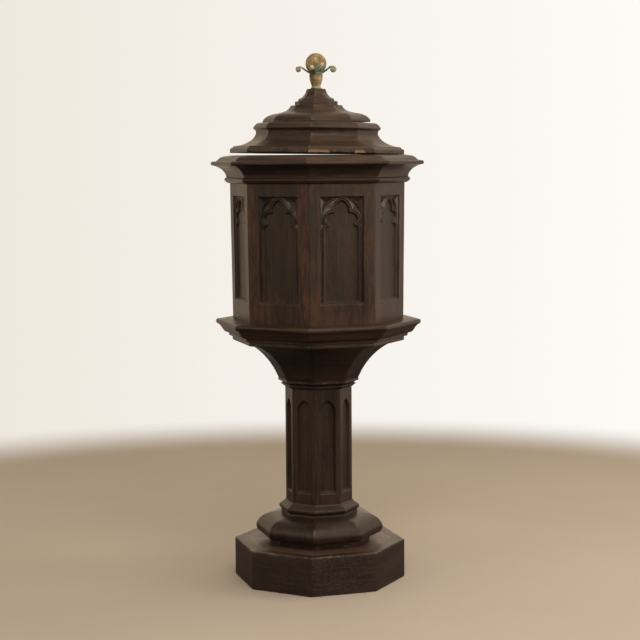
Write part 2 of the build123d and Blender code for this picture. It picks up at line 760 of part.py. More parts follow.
def finial_nut():
    hexagon = Pos(0, 0, NUT_Z) * extrude(RegularPolygon(8.0, 6), amount=7.0)
    return largest(hexagon - rod(0, 0, NUT_Z - 2, NUT_Z + 20, STUD_R))


# ---------------------------------------------------------------------------
# Files: each function's name is its file's name
# ---------------------------------------------------------------------------
os.makedirs("parts", exist_ok=True)

for piece in (
    base_sides, base_top_ring, base_top_board, base_corner_blocks, base_screws,
    plinth_ring, torus_ring, column_collar, column_plug_bottom, column_plug_top,
    column_head_board, head_screws, necking_moulding, corbel_segments,
    shelf_under_board, shelf_moulding, shelf_frame, drum_floor, shelf_spacer_blocks,
    shelf_screws, drum_floor_blocks, drum_rim_blocks,
    cornice_bead, cornice_cove, rim_nose_frame, rim_top_frame, basin,
    lid_base_frame, lid_ogee_ring, lid_nose_ring, lid_inner_board, lid_dome_segments,
    lid_step, lid_cap,
    finial_neck, finial_leaf_crown, finial_ball, finial_stud, finial_washer, finial_nut,
):
    save(piece.__name__, piece())

# the staves are saved one to a file, numbered anticlockwise from +X as seen from above
for piece in (column_stave, drum_panel):
    for number, stave in enumerate(ring(piece()), start=1):
        save(f"{piece.__name__}_{number}", stave)
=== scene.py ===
"""Octagonal dark oak stand with a brass basin and an oak lid with a brass finial.

It stands on z = 0 about the z axis. Side 0 faces +x and the sides count anticlockwise seen from
above; sides 5 and 6 (panels 6 and 7) face the camera, which looks from the -y side. Shapes are in
millimetres and each mesh is scaled to metres as it is made. A side is shaped facing +x, with y
running to the right as seen from outside, and is then turned into place.
"""
import math
from functools import lru_cache
from itertools import product

import bmesh
import bpy
import numpy as np
from mathutils import Matrix, Vector
from mathutils.geometry import tessellate_polygon


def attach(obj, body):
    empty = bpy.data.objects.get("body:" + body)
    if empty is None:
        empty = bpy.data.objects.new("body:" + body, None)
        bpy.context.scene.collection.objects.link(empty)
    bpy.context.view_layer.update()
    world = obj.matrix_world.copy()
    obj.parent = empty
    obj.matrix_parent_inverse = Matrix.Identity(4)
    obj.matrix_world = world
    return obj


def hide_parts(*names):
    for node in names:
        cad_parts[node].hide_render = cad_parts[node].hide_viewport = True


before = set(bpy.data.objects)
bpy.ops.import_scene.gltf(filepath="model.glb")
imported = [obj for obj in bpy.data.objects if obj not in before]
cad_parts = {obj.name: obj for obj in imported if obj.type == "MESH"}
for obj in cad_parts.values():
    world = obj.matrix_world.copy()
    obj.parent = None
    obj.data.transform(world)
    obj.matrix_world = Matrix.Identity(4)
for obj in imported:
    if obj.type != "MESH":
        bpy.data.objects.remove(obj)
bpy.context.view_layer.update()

MM = 0.001
SIDE_ANGLE = math.pi / 4
COS_HALF = math.cos(math.radians(22.5))  # apothem / corner radius
TAN_HALF = math.tan(math.radians(22.5))  # half side / apothem
RNG = np.random.RandomState(7)  # grain offset and tone of each piece of wood, in building order

# heights and apothems shared by several pieces
JOINT = 0.05  # gap between pieces that lie on each other
BASE_TOP = 82.0
SHELF_TOP = 560.0
CORNICE_FOOT = 846.0
DRUM_TOP = 883.95
COLUMN_FACE = 66.06
COLUMN_BORE = 66.18  # inner faces of the rings round the column
CORNICE_BORE = 171.43
LID_BORE = 134.9
AXIS_REACH = 0.5  # solid blocks are closed this near to the axis
CROWN_FOOT = 1074.0


# ---------------------------------------------------------------------------
# noise, meshes, attributes
# ---------------------------------------------------------------------------
@lru_cache(maxsize=None)
def lattice(seed):
    return np.random.RandomState(seed + 17).rand(32, 32, 32)


def smooth_noise(points, scale, seed):
    """Value noise in 0..1 at (n, 3) points; scale is in cells per mm."""
    table = lattice(seed)
    scaled = np.asarray(points, float) * scale + 1000.0
    cell = np.floor(scaled).astype(int)
    part = scaled - cell
    part = part * part * (3 - 2 * part)
    total = 0.0
    for corner in product((0, 1), repeat=3):
        wx, wy, wz = (part[:, i] if corner[i] else 1 - part[:, i] for i in range(3))
        x, y, z = ((cell[:, i] + corner[i]) % 32 for i in range(3))
        total = total + wx * wy * wz * table[x, y, z]
    return total


def layered_noise(points, scale, seed, octaves):
    weight, weights, total = 1.0, 0.0, 0.0
    for octave in range(octaves):
        total = total + weight * smooth_noise(points, scale, seed + octave)
        weights += weight
        weight *= 0.5
        scale *= 2.1
    return total / weights


def turned(points, angle):
    """Points turned about the z axis."""
    cos, sin = math.cos(angle), math.sin(angle)
    x, y, z = points.T
    return np.stack([cos * x - sin * y, sin * x + cos * y, z], 1)


def ring_quads(rows, cols):
    """Quads between successive closed rings of points."""
    for i in range(rows - 1):
        for j in range(cols):
            after = (j + 1) % cols
            yield (i * cols + j, i * cols + after, (i + 1) * cols + after, (i + 1) * cols + j)


def tube_faces(rows, cols, flipped=False):
    """Walls and end caps of a tube of rings."""
    first = tuple(range(cols))
    last = tuple((rows - 1) * cols + j for j in range(cols))
    walls = list(ring_quads(rows, cols))
    if flipped:
        return [quad[:1] + quad[:0:-1] for quad in walls] + [first, last[::-1]]
    return walls + [first[::-1], last]


class Piece:
    """Collects vertices, faces and vertex attributes, and makes one object of them.

    The attributes are gr (place in the grain), wear (rubbed arrises), chip (raw breaks in the
    wood; on the brass, painted shade under the ball), tone (light or dark wood; on the corbel and
    the rim top, a darker tone of painted shade), red (reddish figure) and cav (painted shade and
    dirt in the hollows of the wood, and painted shadow under the lid's edge; verdigris on the
    brass).
    """

    marks = ("wear", "chip", "tone", "red", "cav")

    def __init__(self):
        self.verts, self.faces, self.grain = [], [], []
        self.values = {key: [] for key in self.marks}

    def add(self, verts, faces, grain, **values):
        first = sum(len(part) for part in self.verts)
        self.verts.append(verts)
        self.faces += [tuple(int(i) + first for i in face) for face in faces]
        self.grain.append(grain)
        for key in self.marks:
            self.values[key].append(np.broadcast_to(values.get(key, 0.0), (len(verts),)))

    def make(self, name, body, node, material, sharp=32.0):
        mesh = bpy.data.meshes.new(name)
        mesh.from_pydata((np.concatenate(self.verts) * MM).tolist(), [], self.faces)
        mesh.validate()
        grain = np.concatenate(self.grain) * MM
        layer = mesh.attributes.new("gr", "FLOAT_VECTOR", "POINT")
        layer.data.foreach_set("vector", grain.astype(np.float32).ravel())
        for key in self.marks:
            layer = mesh.attributes.new(key, "FLOAT", "POINT")
            layer.data.foreach_set("value", np.concatenate(self.values[key]).astype(np.float32))
        mesh.polygons.foreach_set("use_smooth", np.ones(len(mesh.polygons), bool))
        mesh.set_sharp_from_angle(angle=math.radians(sharp))
        mesh.materials.append(material)
        obj = bpy.data.objects.new(name, mesh)
        bpy.context.scene.collection.objects.link(obj)
        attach(obj, body)
        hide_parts(node)
        return obj


# ---------------------------------------------------------------------------
# cross sections, listed anticlockwise with the axis on the left:
#   (corner radius, height)         a point on a curve
#   (corner radius, height, ease)   a corner, rounded over the length ease
#   flat(apothem, height, ease)     a corner given by its apothem
# ---------------------------------------------------------------------------
def flat(apothem, z, ease=0.0):
    return (apothem, z, ease, 1.0)


def ring(inner, outline):
    """An outer outline closed by an upright inner face at the apothem inner."""
    return [flat(inner, outline[0][1]), *outline, flat(inner, outline[-1][1])]


def section_point(reach, z, ease=None, to_apothem=COS_HALF):
    return reach * to_apothem, z, ease


def spline(points, step):
    """A smooth curve through three or more points; each span is cut about step long."""
    pts = np.array(points, float)
    lengths = np.linalg.norm(np.diff(pts, axis=0), axis=1)
    spans = np.diff(pts, axis=0) / lengths[:, None]
    before, after = lengths[:-1, None], lengths[1:, None]
    slope = np.zeros_like(pts)
    slope[1:-1] = (spans[:-1] * after + spans[1:] * before) / (before + after)
    slope[0] = 1.5 * spans[0] - 0.5 * slope[1]
    slope[-1] = 1.5 * spans[-1] - 0.5 * slope[-2]
    curve = [pts[0]]
    for i, length in enumerate(lengths):
        count = max(2, int(math.ceil(length / step)))
        for j in range(1, count + 1):
            t = j / count
            curve.append(
                (2 * t ** 3 - 3 * t ** 2 + 1) * pts[i]
                + (t ** 3 - 2 * t ** 2 + t) * length * slope[i]
                + (-2 * t ** 3 + 3 * t ** 2) * pts[i + 1]
                + (t ** 3 - t ** 2) * length * slope[i + 1])
    return curve


def cut_start(run, length):
    """A polyline shortened at its start."""
    for i, (here, there) in enumerate(zip(run, run[1:])):
        gap = np.linalg.norm(there - here)
        if gap > length:
            return [here + (there - here) * (length / gap)] + run[i + 1:]
        length -= gap


def trim(run, at_start, at_end):
    return cut_start(cut_start(run, at_start)[::-1], at_end)[::-1]


def exposure(before, corner, after):
    """How far a corner stands out: 0 for hollow or straight, up to 1."""
    come, leave = corner - before, after - corner
    turn = (come[0] * leave[1] - come[1] * leave[0]) / (
        np.linalg.norm(come) * np.linalg.norm(leave) + 1e-9)
    return max(0.0, min(1.0, turn * 1.4))


def cross_section(spec, step=1.3, flat_step=7.0):
    """Points (n, 2), wear (n,) and outward normals (n, 2). The spec starts at a corner."""
    points = [section_point(*point) for point in spec]
    corners = [i for i, point in enumerate(points) if point[2] is not None]
    runs = []
    for this, following in zip(corners, corners[1:] + [len(points)]):
        pts = [np.array(points[i % len(points)][:2]) for i in range(this, following + 1)]
        if len(pts) > 2:
            runs.append(spline(pts, step))
        else:
            start, end = pts
            count = max(1, int(round(np.linalg.norm(end - start) / flat_step)))
            runs.append([start + (end - start) * t / count for t in range(count + 1)])
    lengths = [sum(np.linalg.norm(b - a) for a, b in zip(run, run[1:])) for run in runs]
    eases, bare = [], []
    for k, corner in enumerate(corners):
        ease = min(points[corner][2], 0.42 * lengths[k - 1], 0.42 * lengths[k])
        eases.append(ease)
        place = np.array(points[corner][:2])
        bare.append(exposure(runs[k - 1][-2], place, runs[k][1]) if ease > 0 else 0.0)

    outline, wear = [], []
    for k, corner in enumerate(corners):
        following = (k + 1) % len(corners)
        run = trim(runs[k], eases[k], eases[following])
        if eases[k] > 0:
            place = np.array(points[corner][:2])
            start = trim(runs[k - 1], 0, eases[k])[-1]
            for t in (0.34, 0.66):
                outline.append((1 - t) ** 2 * start + 2 * t * (1 - t) * place + t * t * run[0])
                wear.append(bare[k])
        outline += run[:-1]
        wear += [0.55 * bare[k]] + [0.0] * (len(run) - 2)
        if eases[following] > 0:
            outline.append(run[-1])
            wear.append(0.55 * bare[following])
    outline, wear = np.array(outline), np.array(wear)
    apart = np.linalg.norm(outline - np.roll(outline, 1, 0), axis=1) >= 0.02
    outline, wear = outline[apart], wear[apart]
    along = np.roll(outline, -1, 0) - np.roll(outline, 1, 0)
    normals = np.stack([along[:, 1], -along[:, 0]], 1)
    normals /= np.linalg.norm(normals, axis=1)[:, None] + 1e-9
    return outline, wear, normals


MITRE_GAP = 0.1  # open joint between neighbouring lengths
END_INSET = 0.16  # the mitred ends are drawn in this much


def mitred_length(piece, section, side, seed, bevel=0.45, step=5.0, grain_up=False, bore=None,
                  waver=0.10, dent=0.55, red=0.25, pale=0.0, damage=None, place=None):
    """One mitred length of an octagonal moulding.

    bore makes the inner edge a circle; waver and dent are the depths of the unevenness and of
    knocks on the arrises; damage alters the finished length, place moves it once it is turned.
    """
    outline, edge_wear, normals = section
    count = len(outline)
    reach, height = outline.T
    cuts = max(6, int(round(2 * reach.max() * TAN_HALF / step)))
    half_gap = MITRE_GAP / (2 * COS_HALF)
    # small steps are drawn in less, so that the ends stay clean
    before = np.linalg.norm(outline - np.roll(outline, 1, 0), axis=1)
    inset = np.minimum(END_INSET, 0.35 * np.minimum(before, np.roll(before, -1)))
    end_reach = reach - normals[:, 0] * inset
    end_height = height - normals[:, 1] * inset
    end_half = end_reach * TAN_HALF - half_gap
    half = reach * TAN_HALF - half_gap
    columns = [(end_reach, -end_half, end_height), (reach, -(half - bevel), height)]
    for across in np.linspace(-1, 1, cuts + 1)[1:-1]:
        columns.append((reach, across * (half - bevel - 0.6), height))
    columns += [(reach, half - bevel, height), (end_reach, end_half, end_height)]
    rows = len(columns)
    verts = np.concatenate([np.stack(column, 1) for column in columns])
    wear = np.tile(edge_wear, rows)
    end_wear = np.zeros(rows)
    end_wear[[0, 1, -2, -1]] = (1.0, 0.8, 0.8, 1.0)
    end_wear = np.repeat(end_wear, count)
    outward = np.tile(np.stack([normals[:, 0], np.zeros(count), normals[:, 1]], 1), (rows, 1))

    # hand-worked surface: slight waviness, and arrises knocked here and there
    spot = verts + np.array([side * 311.0 + seed * 57.0, 0, 0])
    waves = layered_noise(spot, 1 / 46.0, seed, 2) - 0.5
    small = np.clip(layered_noise(spot, 1 / 9.0, seed + 5, 3) - 0.52, 0, 1) * 3.2
    large = np.clip(smooth_noise(spot, 1 / 26.0, seed + 9) - 0.70, 0, 1) * 3.0
    move = waves * waver - (small * dent + large * dent) * wear
    reaches = np.tile(reach, rows)
    inner = reaches < reach.min() + 0.3
    move[inner] = 0
    verts = verts + outward * move[:, None]
    rubbed = layered_noise(spot, 1 / 18.0, seed + 3, 2)
    wear = np.clip(wear * (0.35 + 1.5 * small + 1.6 * large + 0.5 * rubbed), 0, 1.2)
    patches = np.clip(layered_noise(spot, 1 / 12.0, seed + 4, 2) * 1.6 - 0.55, 0, 1)
    wear = np.maximum(wear, 0.5 * end_wear * patches * (reaches > reach.min() + 3))
    if bore:
        angle = np.arctan2(verts[inner, 1], verts[inner, 0])
        verts[inner, 0] = bore * np.cos(angle)
        verts[inner, 1] = bore * np.sin(angle)

    faces = [quad[::-1] for quad in ring_quads(rows, count)]
    last = (rows - 1) * count
    for a, b, c in tessellate_polygon([[Vector((x, z, 0.0)) for x, z in outline]]):
        (ax, az), (bx, bz), (cx, cz) = outline[a], outline[b], outline[c]
        if (bx - ax) * (cz - az) - (cx - ax) * (bz - az) < 0:
            b, c = c, b
        faces.append((a, b, c))
        faces.append((last + a, last + c, last + b))

    if grain_up:
        steps = np.linalg.norm(np.diff(outline, axis=0), axis=1)
        girth = np.concatenate([[0], np.cumsum(steps)])
        grain = np.stack([np.tile(girth, rows), verts[:, 1], verts[:, 0] * 0.3], 1)
    else:
        grain = verts[:, [1, 2, 0]]
    grain = grain + RNG.rand(3) * 900
    tone = RNG.rand() + pale
    redness = red * (0.4 + 1.2 * RNG.rand())
    chip = cav = np.zeros(len(verts))
    if damage:
        verts, wear, chip, cav = damage(side, verts, reach.max(), wear, chip, cav)
    verts = turned(verts, side * SIDE_ANGLE)
    if place:
        verts = place(verts)
    piece.add(verts, faces, grain, wear=wear, chip=chip, tone=tone, red=redness, cav=cav)


def moulding(name, node, spec, body="stand", material=None, **options):
    """An octagonal ring of eight mitred lengths."""
    piece = Piece()
    section = cross_section(spec)
    for side in range(8):
        mitred_length(piece, section, side, **options)
    piece.make(name, body, node, material or OAK)


def octagon_block(name, node, outline, body, seed, cuts, grain_turn=0.0):
    """A solid octagonal block, shaped from one piece of wood; cuts is the columns per side."""
    spec = ring(0.0, outline)
    spec[0] = flat(AXIS_REACH, spec[0][1])
    spec[-1] = flat(AXIS_REACH, spec[-1][1])
    points, edge_wear, normals = cross_section(spec, step=1.2, flat_step=9.0)
    # the run back down the axis is left out
    to_top = np.abs(points[:, 0] - AXIS_REACH) + np.abs(points[:, 1] - spec[-1][1])
    rows = int(np.argmin(to_top)) + 1
    points, edge_wear, normals = points[:rows], edge_wear[:rows], normals[:rows]
    x = points[:, 0, None, None]
    half = np.maximum(x * TAN_HALF - np.minimum(0.9, 0.2 * x), 0.0)
    y = (-1 + 2 * np.arange(cuts + 1) / cuts) * half
    angle = np.arange(8)[:, None] * SIDE_ANGLE
    z = points[:, 1, None, None] + 0 * (angle + y)
    verts = np.stack([np.cos(angle) * x - np.sin(angle) * y,
                      np.sin(angle) * x + np.cos(angle) * y, z], -1).reshape(-1, 3)
    cols = 8 * (cuts + 1)
    at_corner = np.zeros(cuts + 1)
    at_corner[[0, -1]] = 0.7
    out_by, up_by = np.repeat(normals[:, 0], cols), np.repeat(normals[:, 1], cols)
    wear = np.maximum(np.repeat(edge_wear, cols), np.tile(at_corner, 8 * rows) * (out_by > 0.2))
    radius = np.maximum(np.hypot(verts[:, 0], verts[:, 1]), 1e-3)
    outward = np.concatenate([verts[:, :2] / radius[:, None] * out_by[:, None],
                              up_by[:, None]], 1)
    knocks = np.clip(layered_noise(verts, 1 / 8.0, seed, 3) - 0.52, 0, 1) * 3.2
    waves = (layered_noise(verts, 1 / 40.0, seed + 2, 2) - 0.5) * 0.15
    verts = verts + outward * (waves - knocks * 0.5 * wear)[:, None]
    rubbed = layered_noise(verts, 1 / 16.0, seed + 3, 2)
    wear = np.clip(wear * (0.35 + 1.5 * knocks + 0.6 * rubbed), 0, 1.1)
    grain = turned(verts, math.radians(grain_turn)) + RNG.rand(3) * 900
    piece = Piece()
    piece.add(verts, tube_faces(rows, cols), grain, wear=wear, tone=RNG.rand(), red=0.2)
    piece.make(name, body, node, OAK)


# ---------------------------------------------------------------------------
# materials
# ---------------------------------------------------------------------------
class Wire:
    """A node output; arithmetic on it adds math nodes."""

    def __init__(self, graph, socket):
        self.graph, self.socket = graph, socket

    def __add__(self, other):
        return self.graph.math("ADD", self, other)

    def __radd__(self, other):
        return self.graph.math("ADD", other, self)

    def __sub__(self, other):
        return self.graph.math("SUBTRACT", self, other)

    def __rsub__(self, other):
        return self.graph.math("SUBTRACT", other, self)

    def __mul__(self, other):
        return self.graph.math("MULTIPLY", self, other)

    def __rmul__(self, other):
        return self.graph.math("MULTIPLY", other, self)

    def clamped(self):
        """Sets the clamp of the math node this comes from."""
        self.socket.node.use_clamp = True
        return self

    def ramp(self, span, to=(0.0, 1.0), shape="SMOOTHSTEP"):
        """Maps the range span onto the range to."""
        return self.graph.wire("MapRange", {0: self, 1: span[0], 2: span[1], 3: to[0], 4: to[1]},
                               interpolation_type=shape, clamp=True)


class Graph:
    """The emptied node tree of a material or world."""

    def __init__(self, owner):
        self.owner = owner
        owner.use_nodes = True
        self.tree = owner.node_tree
        self.tree.nodes.clear()

    def node(self, kind, inputs=None, **settings):
        node = self.tree.nodes.new("ShaderNode" + kind)
        for key, value in settings.items():
            setattr(node, key, value)
        for key, value in (inputs or {}).items():
            socket = node.inputs[key]
            if isinstance(value, Wire):
                self.tree.links.new(value.socket, socket)
            elif isinstance(value, tuple):
                socket.default_value = (*value, 1.0)[:len(socket.default_value)]
            else:
                socket.default_value = value
        return node

    def wire(self, kind, inputs=None, output=0, **settings):
        return Wire(self, self.node(kind, inputs, **settings).outputs[output])

    def math(self, operation, x, y=0.0):
        return self.wire("Math", {0: x, 1: y, 2: 0.0}, operation=operation)

    def vector(self, operation, x, y, output=0):
        return self.wire("VectorMath", {0: x, 1: y}, output, operation=operation)

    def attribute(self, name, output="Fac"):
        return self.wire("Attribute", None, output, attribute_name=name,
                         attribute_type="GEOMETRY")

    def place(self):
        return self.wire("TexCoord", None, "Object")

    def stretch(self, place, along, across):
        return self.vector("MULTIPLY", place, (along, across, across))

    def noise(self, place, scale=1.0, detail=3.0, rough=0.5, twist=0.0, output=0):
        return self.wire("TexNoise", {"Vector": place, "Scale": scale, "Detail": detail,
                                      "Roughness": rough, "Distortion": twist}, output)

    def grain(self, place, along, across, **options):
        """Noise with its own scale along the grain and across it."""
        return self.noise(self.stretch(place, along, across), **options)

    def bent_grain(self, place, along, across, sway):
        """The place drifting slowly across the grain, and the drift itself."""
        drift = self.grain(place, along, across, detail=2.0, output=1)
        return self.vector("ADD", place, self.stretch(drift, 0.0, sway)), drift

    def mix(self, factor, first, second):
        return self.wire("Mix", {0: factor, 6: first, 7: second}, 2, data_type="RGBA")

    def surface(self, color, roughness, bump, strength, distance, **more):
        normal = self.wire("Bump", {"Strength": strength, "Distance": distance, "Height": bump})
        return self.wire("BsdfPrincipled", {"Base Color": color, "Roughness": roughness,
                                            "Normal": normal, **more})

    def finish(self, **surface):
        self.node("OutputMaterial", {0: self.surface(**surface)})
        return self.owner


def stained_oak(name, dark, mid, reddish):
    graph = Graph(bpy.data.materials.new(name))
    place = graph.attribute("gr", "Vector")
    tone, wear, chip, red, cav = (
        graph.attribute(key) for key in ("tone", "wear", "chip", "red", "cav"))
    bent, drift = graph.bent_grain(place, along=5, across=22, sway=0.009)
    figure = graph.grain(bent, along=7, across=150, detail=4.0, rough=0.6)
    streak = graph.grain(bent, along=16, across=620, rough=0.65)
    pore = graph.grain(bent, along=75, across=2300, detail=2.0)
    blot = graph.grain(place, along=9, across=26, rough=0.6)
    swayed = graph.vector("ADD", place, graph.stretch(drift, 0.02, 0.0))
    fleck = graph.grain(swayed, along=210, across=60, detail=2.0, rough=0.55, twist=0.4)
    flame = graph.grain(bent, along=24, across=135, detail=5.0, rough=0.66)

    # the factors are the share of each pattern
    shade = (figure.ramp(span=(0.32, 0.68)) * 0.52 + streak.ramp(span=(0.36, 0.66)) * 0.38
             + (tone - 0.5) * 0.28 + (blot - 0.5) * 0.9).clamped()
    color = graph.mix(shade, dark, mid)
    flamed = (red * (flame * 0.65 + blot * 0.35).ramp(span=(0.405, 0.625))).clamped()
    color = graph.mix(flamed * 0.86, color, reddish)
    flecked = fleck.ramp(span=(0.60, 0.70)) * flamed * 0.5
    color = graph.mix(flecked, color, (0.135, 0.055, 0.028))
    pores = pore.ramp(span=(0.60, 0.72))
    color = graph.mix(pores * 0.55, color, (0.006, 0.004, 0.003))
    # rubbed arrises, paler where most worn, then chips down to raw wood
    rubbed = wear * (blot * 0.5 + streak * 0.5).ramp(span=(0.30, 0.66))
    light = rubbed.ramp(span=(0.10, 0.85), to=(0.0, 0.78), shape="LINEAR")
    color = graph.mix(light, color, (0.120, 0.066, 0.036))
    heavy = rubbed.ramp(span=(0.72, 1.05), to=(0.0, 0.65), shape="LINEAR")
    color = graph.mix(heavy, color, (0.30, 0.185, 0.105))
    raw = graph.mix(streak.ramp(span=(0.35, 0.65)), (0.52, 0.33, 0.18), (0.28, 0.15, 0.075))
    color = graph.mix(chip, color, raw)
    # painted shade and old wax and dirt in the hollows, and painted shadow under the lid's edge
    color = graph.mix(cav * 0.8, color, (0.0075, 0.0055, 0.0045))
    roughness = (0.36 + (streak - 0.5) * 0.22 + pores * 0.18 + (blot - 0.5) * 0.22
                 + cav * 0.25).clamped()
    return graph.finish(color=color, roughness=roughness,
                        bump=streak * 0.5 - pores * 0.9 + figure * 0.4,
                        strength=0.55, distance=0.00035,
                        **{"Specular IOR Level": 0.5, "Specular Tint": (1.0, 0.88, 0.74)})


def raw_oak(name):
    graph = Graph(bpy.data.materials.new(name))
    place = graph.place()
    bent, _ = graph.bent_grain(place, along=6, across=18, sway=0.010)
    figure = graph.grain(bent, along=8, across=160, detail=4.0, rough=0.6)
    pore = graph.grain(bent, along=70, across=1800, detail=2.0)
    blot = graph.noise(place, scale=9.0, detail=4.0, rough=0.6)
    open_pores = (0.58, 0.70)
    color = graph.mix(figure.ramp(span=(0.3, 0.7)), (0.21, 0.125, 0.066), (0.34, 0.225, 0.130))
    color = graph.mix(pore.ramp(span=open_pores) * 0.6, color, (0.09, 0.05, 0.028))
    stain = blot.ramp(span=(0.50, 0.72), to=(0.0, 0.6))
    color = graph.mix(stain, color, (0.13, 0.080, 0.045))
    return graph.finish(color=color, roughness=figure.ramp(span=(0.2, 0.8), to=(0.62, 0.78)),
                        bump=figure * 0.5 - pore.ramp(span=open_pores),
                        strength=0.6, distance=0.0004)


def brass(name, bright, dull, spun=False):
    """Aged brass; spun has lathe rings and takes no wear from the mesh."""
    graph = Graph(bpy.data.materials.new(name))
    place = graph.place()
    cav = 0.0 if spun else graph.attribute("cav")
    wear = 0.0 if spun else graph.attribute("wear")
    big = graph.noise(place, scale=55.0, detail=4.0, rough=0.62)
    medium = graph.noise(place, scale=190.0, detail=4.0, rough=0.6)
    fine = graph.noise(place, scale=900.0, rough=0.6)
    patina = big * 0.78 + medium * 0.22
    color = graph.mix(patina.ramp(span=(0.40, 0.60)), dull, bright)
    coppery = graph.noise(place, scale=85.0).ramp(span=(0.54, 0.66), to=(0.0, 0.45))
    color = graph.mix(coppery, color, (0.21, 0.085, 0.040))
    color = graph.mix(wear * medium.ramp(span=(0.30, 0.55)), color, (0.74, 0.53, 0.25))
    if not spun:
        # painted shade: the pieces mark the neck's top, the ball's underside and the arms' roots,
        # all under the ball, and there the brass is darkened in blotches
        painted_shade = graph.attribute("chip") * medium.ramp(span=(0.66, 0.40), to=(0.35, 1.0))
        color = graph.mix(painted_shade, color, (0.060, 0.045, 0.026))
    green = (cav * (medium * 0.5 + big * 0.5).ramp(span=(0.40, 0.52))).clamped()
    greens = graph.mix(fine.ramp(span=(0.4, 0.6)), (0.15, 0.30, 0.17), (0.30, 0.47, 0.30))
    color = graph.mix(green, color, greens)
    spots = graph.noise(place, scale=420.0, detail=2.0).ramp(span=(0.64, 0.72))
    color = graph.mix(spots * 0.35, color, (0.050, 0.032, 0.018))
    metallic = (0.86 - green * 0.82).clamped()
    metallic = (metallic - patina.ramp(span=(0.62, 0.40), to=(0.0, 0.42))).clamped()
    metallic = metallic * (1.0 if spun else 0.72)
    if spun:
        x, y, z = (Wire(graph, out) for out in graph.node("SeparateXYZ", {0: place}).outputs)
        radius = graph.math("SQRT", x * x + y * y)
        rings_per_metre = 900.0
        rings = graph.noise(graph.wire("CombineXYZ", {"X": radius * rings_per_metre,
                                                      "Y": z * rings_per_metre}), detail=2.0)
        bump = rings * 0.5 + medium * 0.2
        roughness = (rings.ramp(span=(0.3, 0.7), to=(0.26, 0.36))
                     + big.ramp(span=(0.45, 0.65), to=(0.0, 0.18)))
    else:
        bump = medium * 0.6 + fine * 0.35
        roughness = (patina.ramp(span=(0.35, 0.62), to=(0.62, 0.44)) + green * 0.3).clamped()
    return graph.finish(color=color, roughness=roughness, bump=bump, strength=0.45,
                        distance=0.00035, Metallic=metallic)


def steel(name):
    graph = Graph(bpy.data.materials.new(name))
    place = graph.place()
    blot = graph.noise(place, scale=160.0, detail=4.0, rough=0.6)
    fine = graph.noise(place, scale=1400.0, detail=2.0)
    color = graph.mix(blot.ramp(span=(0.42, 0.62)), (0.30, 0.29, 0.28), (0.12, 0.085, 0.065))
    return graph.finish(color=color, roughness=blot.ramp(span=(0.35, 0.65), to=(0.34, 0.62)),
                        bump=fine, strength=0.3, distance=0.0002,
                        Metallic=blot.ramp(span=(0.45, 0.68), to=(0.95, 0.35)))


OAK = stained_oak("oak_dark", dark=(0.0120, 0.0072, 0.0050), mid=(0.054, 0.0300, 0.0178),
                  reddish=(0.116, 0.0395, 0.0170))
OAK_BASE = stained_oak("oak_base", dark=(0.0215, 0.0132, 0.0102), mid=(0.046, 0.0275, 0.0205),
                       reddish=(0.066, 0.031, 0.0205))
# the base top: partly its lighter reddish colour, partly painted light, as a lighter copy of the
# oak for the upward face
OAK_STEP = stained_oak("oak_base_top", dark=(0.066, 0.038, 0.027), mid=(0.108, 0.061, 0.043),
                       reddish=(0.125, 0.060, 0.040))
RAW_OAK = raw_oak("oak_inside")
BRASS = brass("brass_aged", bright=(0.50, 0.355, 0.165), dull=(0.20, 0.125, 0.055))
BASIN_BRASS = brass("basin_brass", bright=(0.62, 0.45, 0.20), dull=(0.36, 0.235, 0.100),
                    spun=True)
STEEL = steel("steel_fixings")


# ---------------------------------------------------------------------------
# stand: base, foot, column rings, corbel, shelf, cornice, rim
# ---------------------------------------------------------------------------
def stretch_of(place, start, end, fade_in, fade_out):
    """1 between start and end, fading to 0 at both."""
    return np.clip(np.minimum((place - start) / fade_in, (end - place) / fade_out), 0, 1)


def base_scars(side, verts, rim, wear, chip, cav):
    """Knocks along the top arris of sides 5 and 6."""
    if side not in (5, 6):
        return verts, wear, chip, cav
    across = verts[:, 1]
    half = across.max()
    top = (verts[:, 2] > 80.2) & (verts[:, 0] > rim - 3.5)
    if side == 6:
        run = stretch_of(across, -0.86 * half, 0.02 * half, fade_in=5, fade_out=8)
        ragged = np.clip((layered_noise(verts, 1 / 4.0, 91, 3) - 0.44) * 8, 0, 1)
        amount = run * ragged * top
        wear = np.maximum(wear, run * top * 0.9)
    else:
        amount = (np.abs(across - 0.80 * half) < 1.5) * top * 0.6
    return verts, wear, np.maximum(chip, 0.42 * amount), cav


moulding("base_block", "base_sides",
         ring(147.53, [flat(169.53, 0, 1.4), flat(169.53, BASE_TOP, 2.8)]),
         bevel=0.9, step=4.0, waver=0.35, dent=0.9, red=0.45, seed=1, damage=base_scars,
         material=OAK_BASE)
moulding("base_top", "base_top_ring",
         ring(66.36, [flat(147.43, 60), flat(147.43, BASE_TOP, 0.3)]),
         seed=17, red=0.6, waver=0.25, dent=0.4, material=OAK_STEP)
moulding("plinth", "plinth_ring",
         ring(COLUMN_BORE, [(108.0, BASE_TOP + JOINT, 0.3), (108.0, 95.5, 0.6)]),
         seed=2, red=0.1)
moulding("torus", "torus_ring",
         ring(COLUMN_BORE, [
             (127.6, 95.55, 0.5), (131.8, 97.6), (134.9, 101.6), (136.6, 106.4), (136.9, 110.5),
             (135.9, 114.9), (133.0, 120.2), (128.2, 126.0), (122.0, 130.7), (114.5, 134.2),
             (106.0, 136.6), (95.0, 138.7), (84.5, 140.0, 0.2)]),
         grain_up=True, seed=3, waver=0.2, red=0.05)
moulding("collar", "column_collar",
         ring(COLUMN_BORE, [
             (82.2, 140.05, 0.3), (82.2, 144.4, 0.5), (81.7, 145.8), (82.2, 147.3),
             (83.6, 148.5, 0.2), (86.1, 151.2), (86.6, 153.9), (86.1, 156.6), (83.6, 159.3, 0.3),
             (80.4, 160.3, 0.3), (80.2, 161.3, 0.3), (77.0, 163.2), (74.6, 165.4),
             (73.2, 168.0, 0.3)]),
         seed=4, step=4.0, red=0.15)
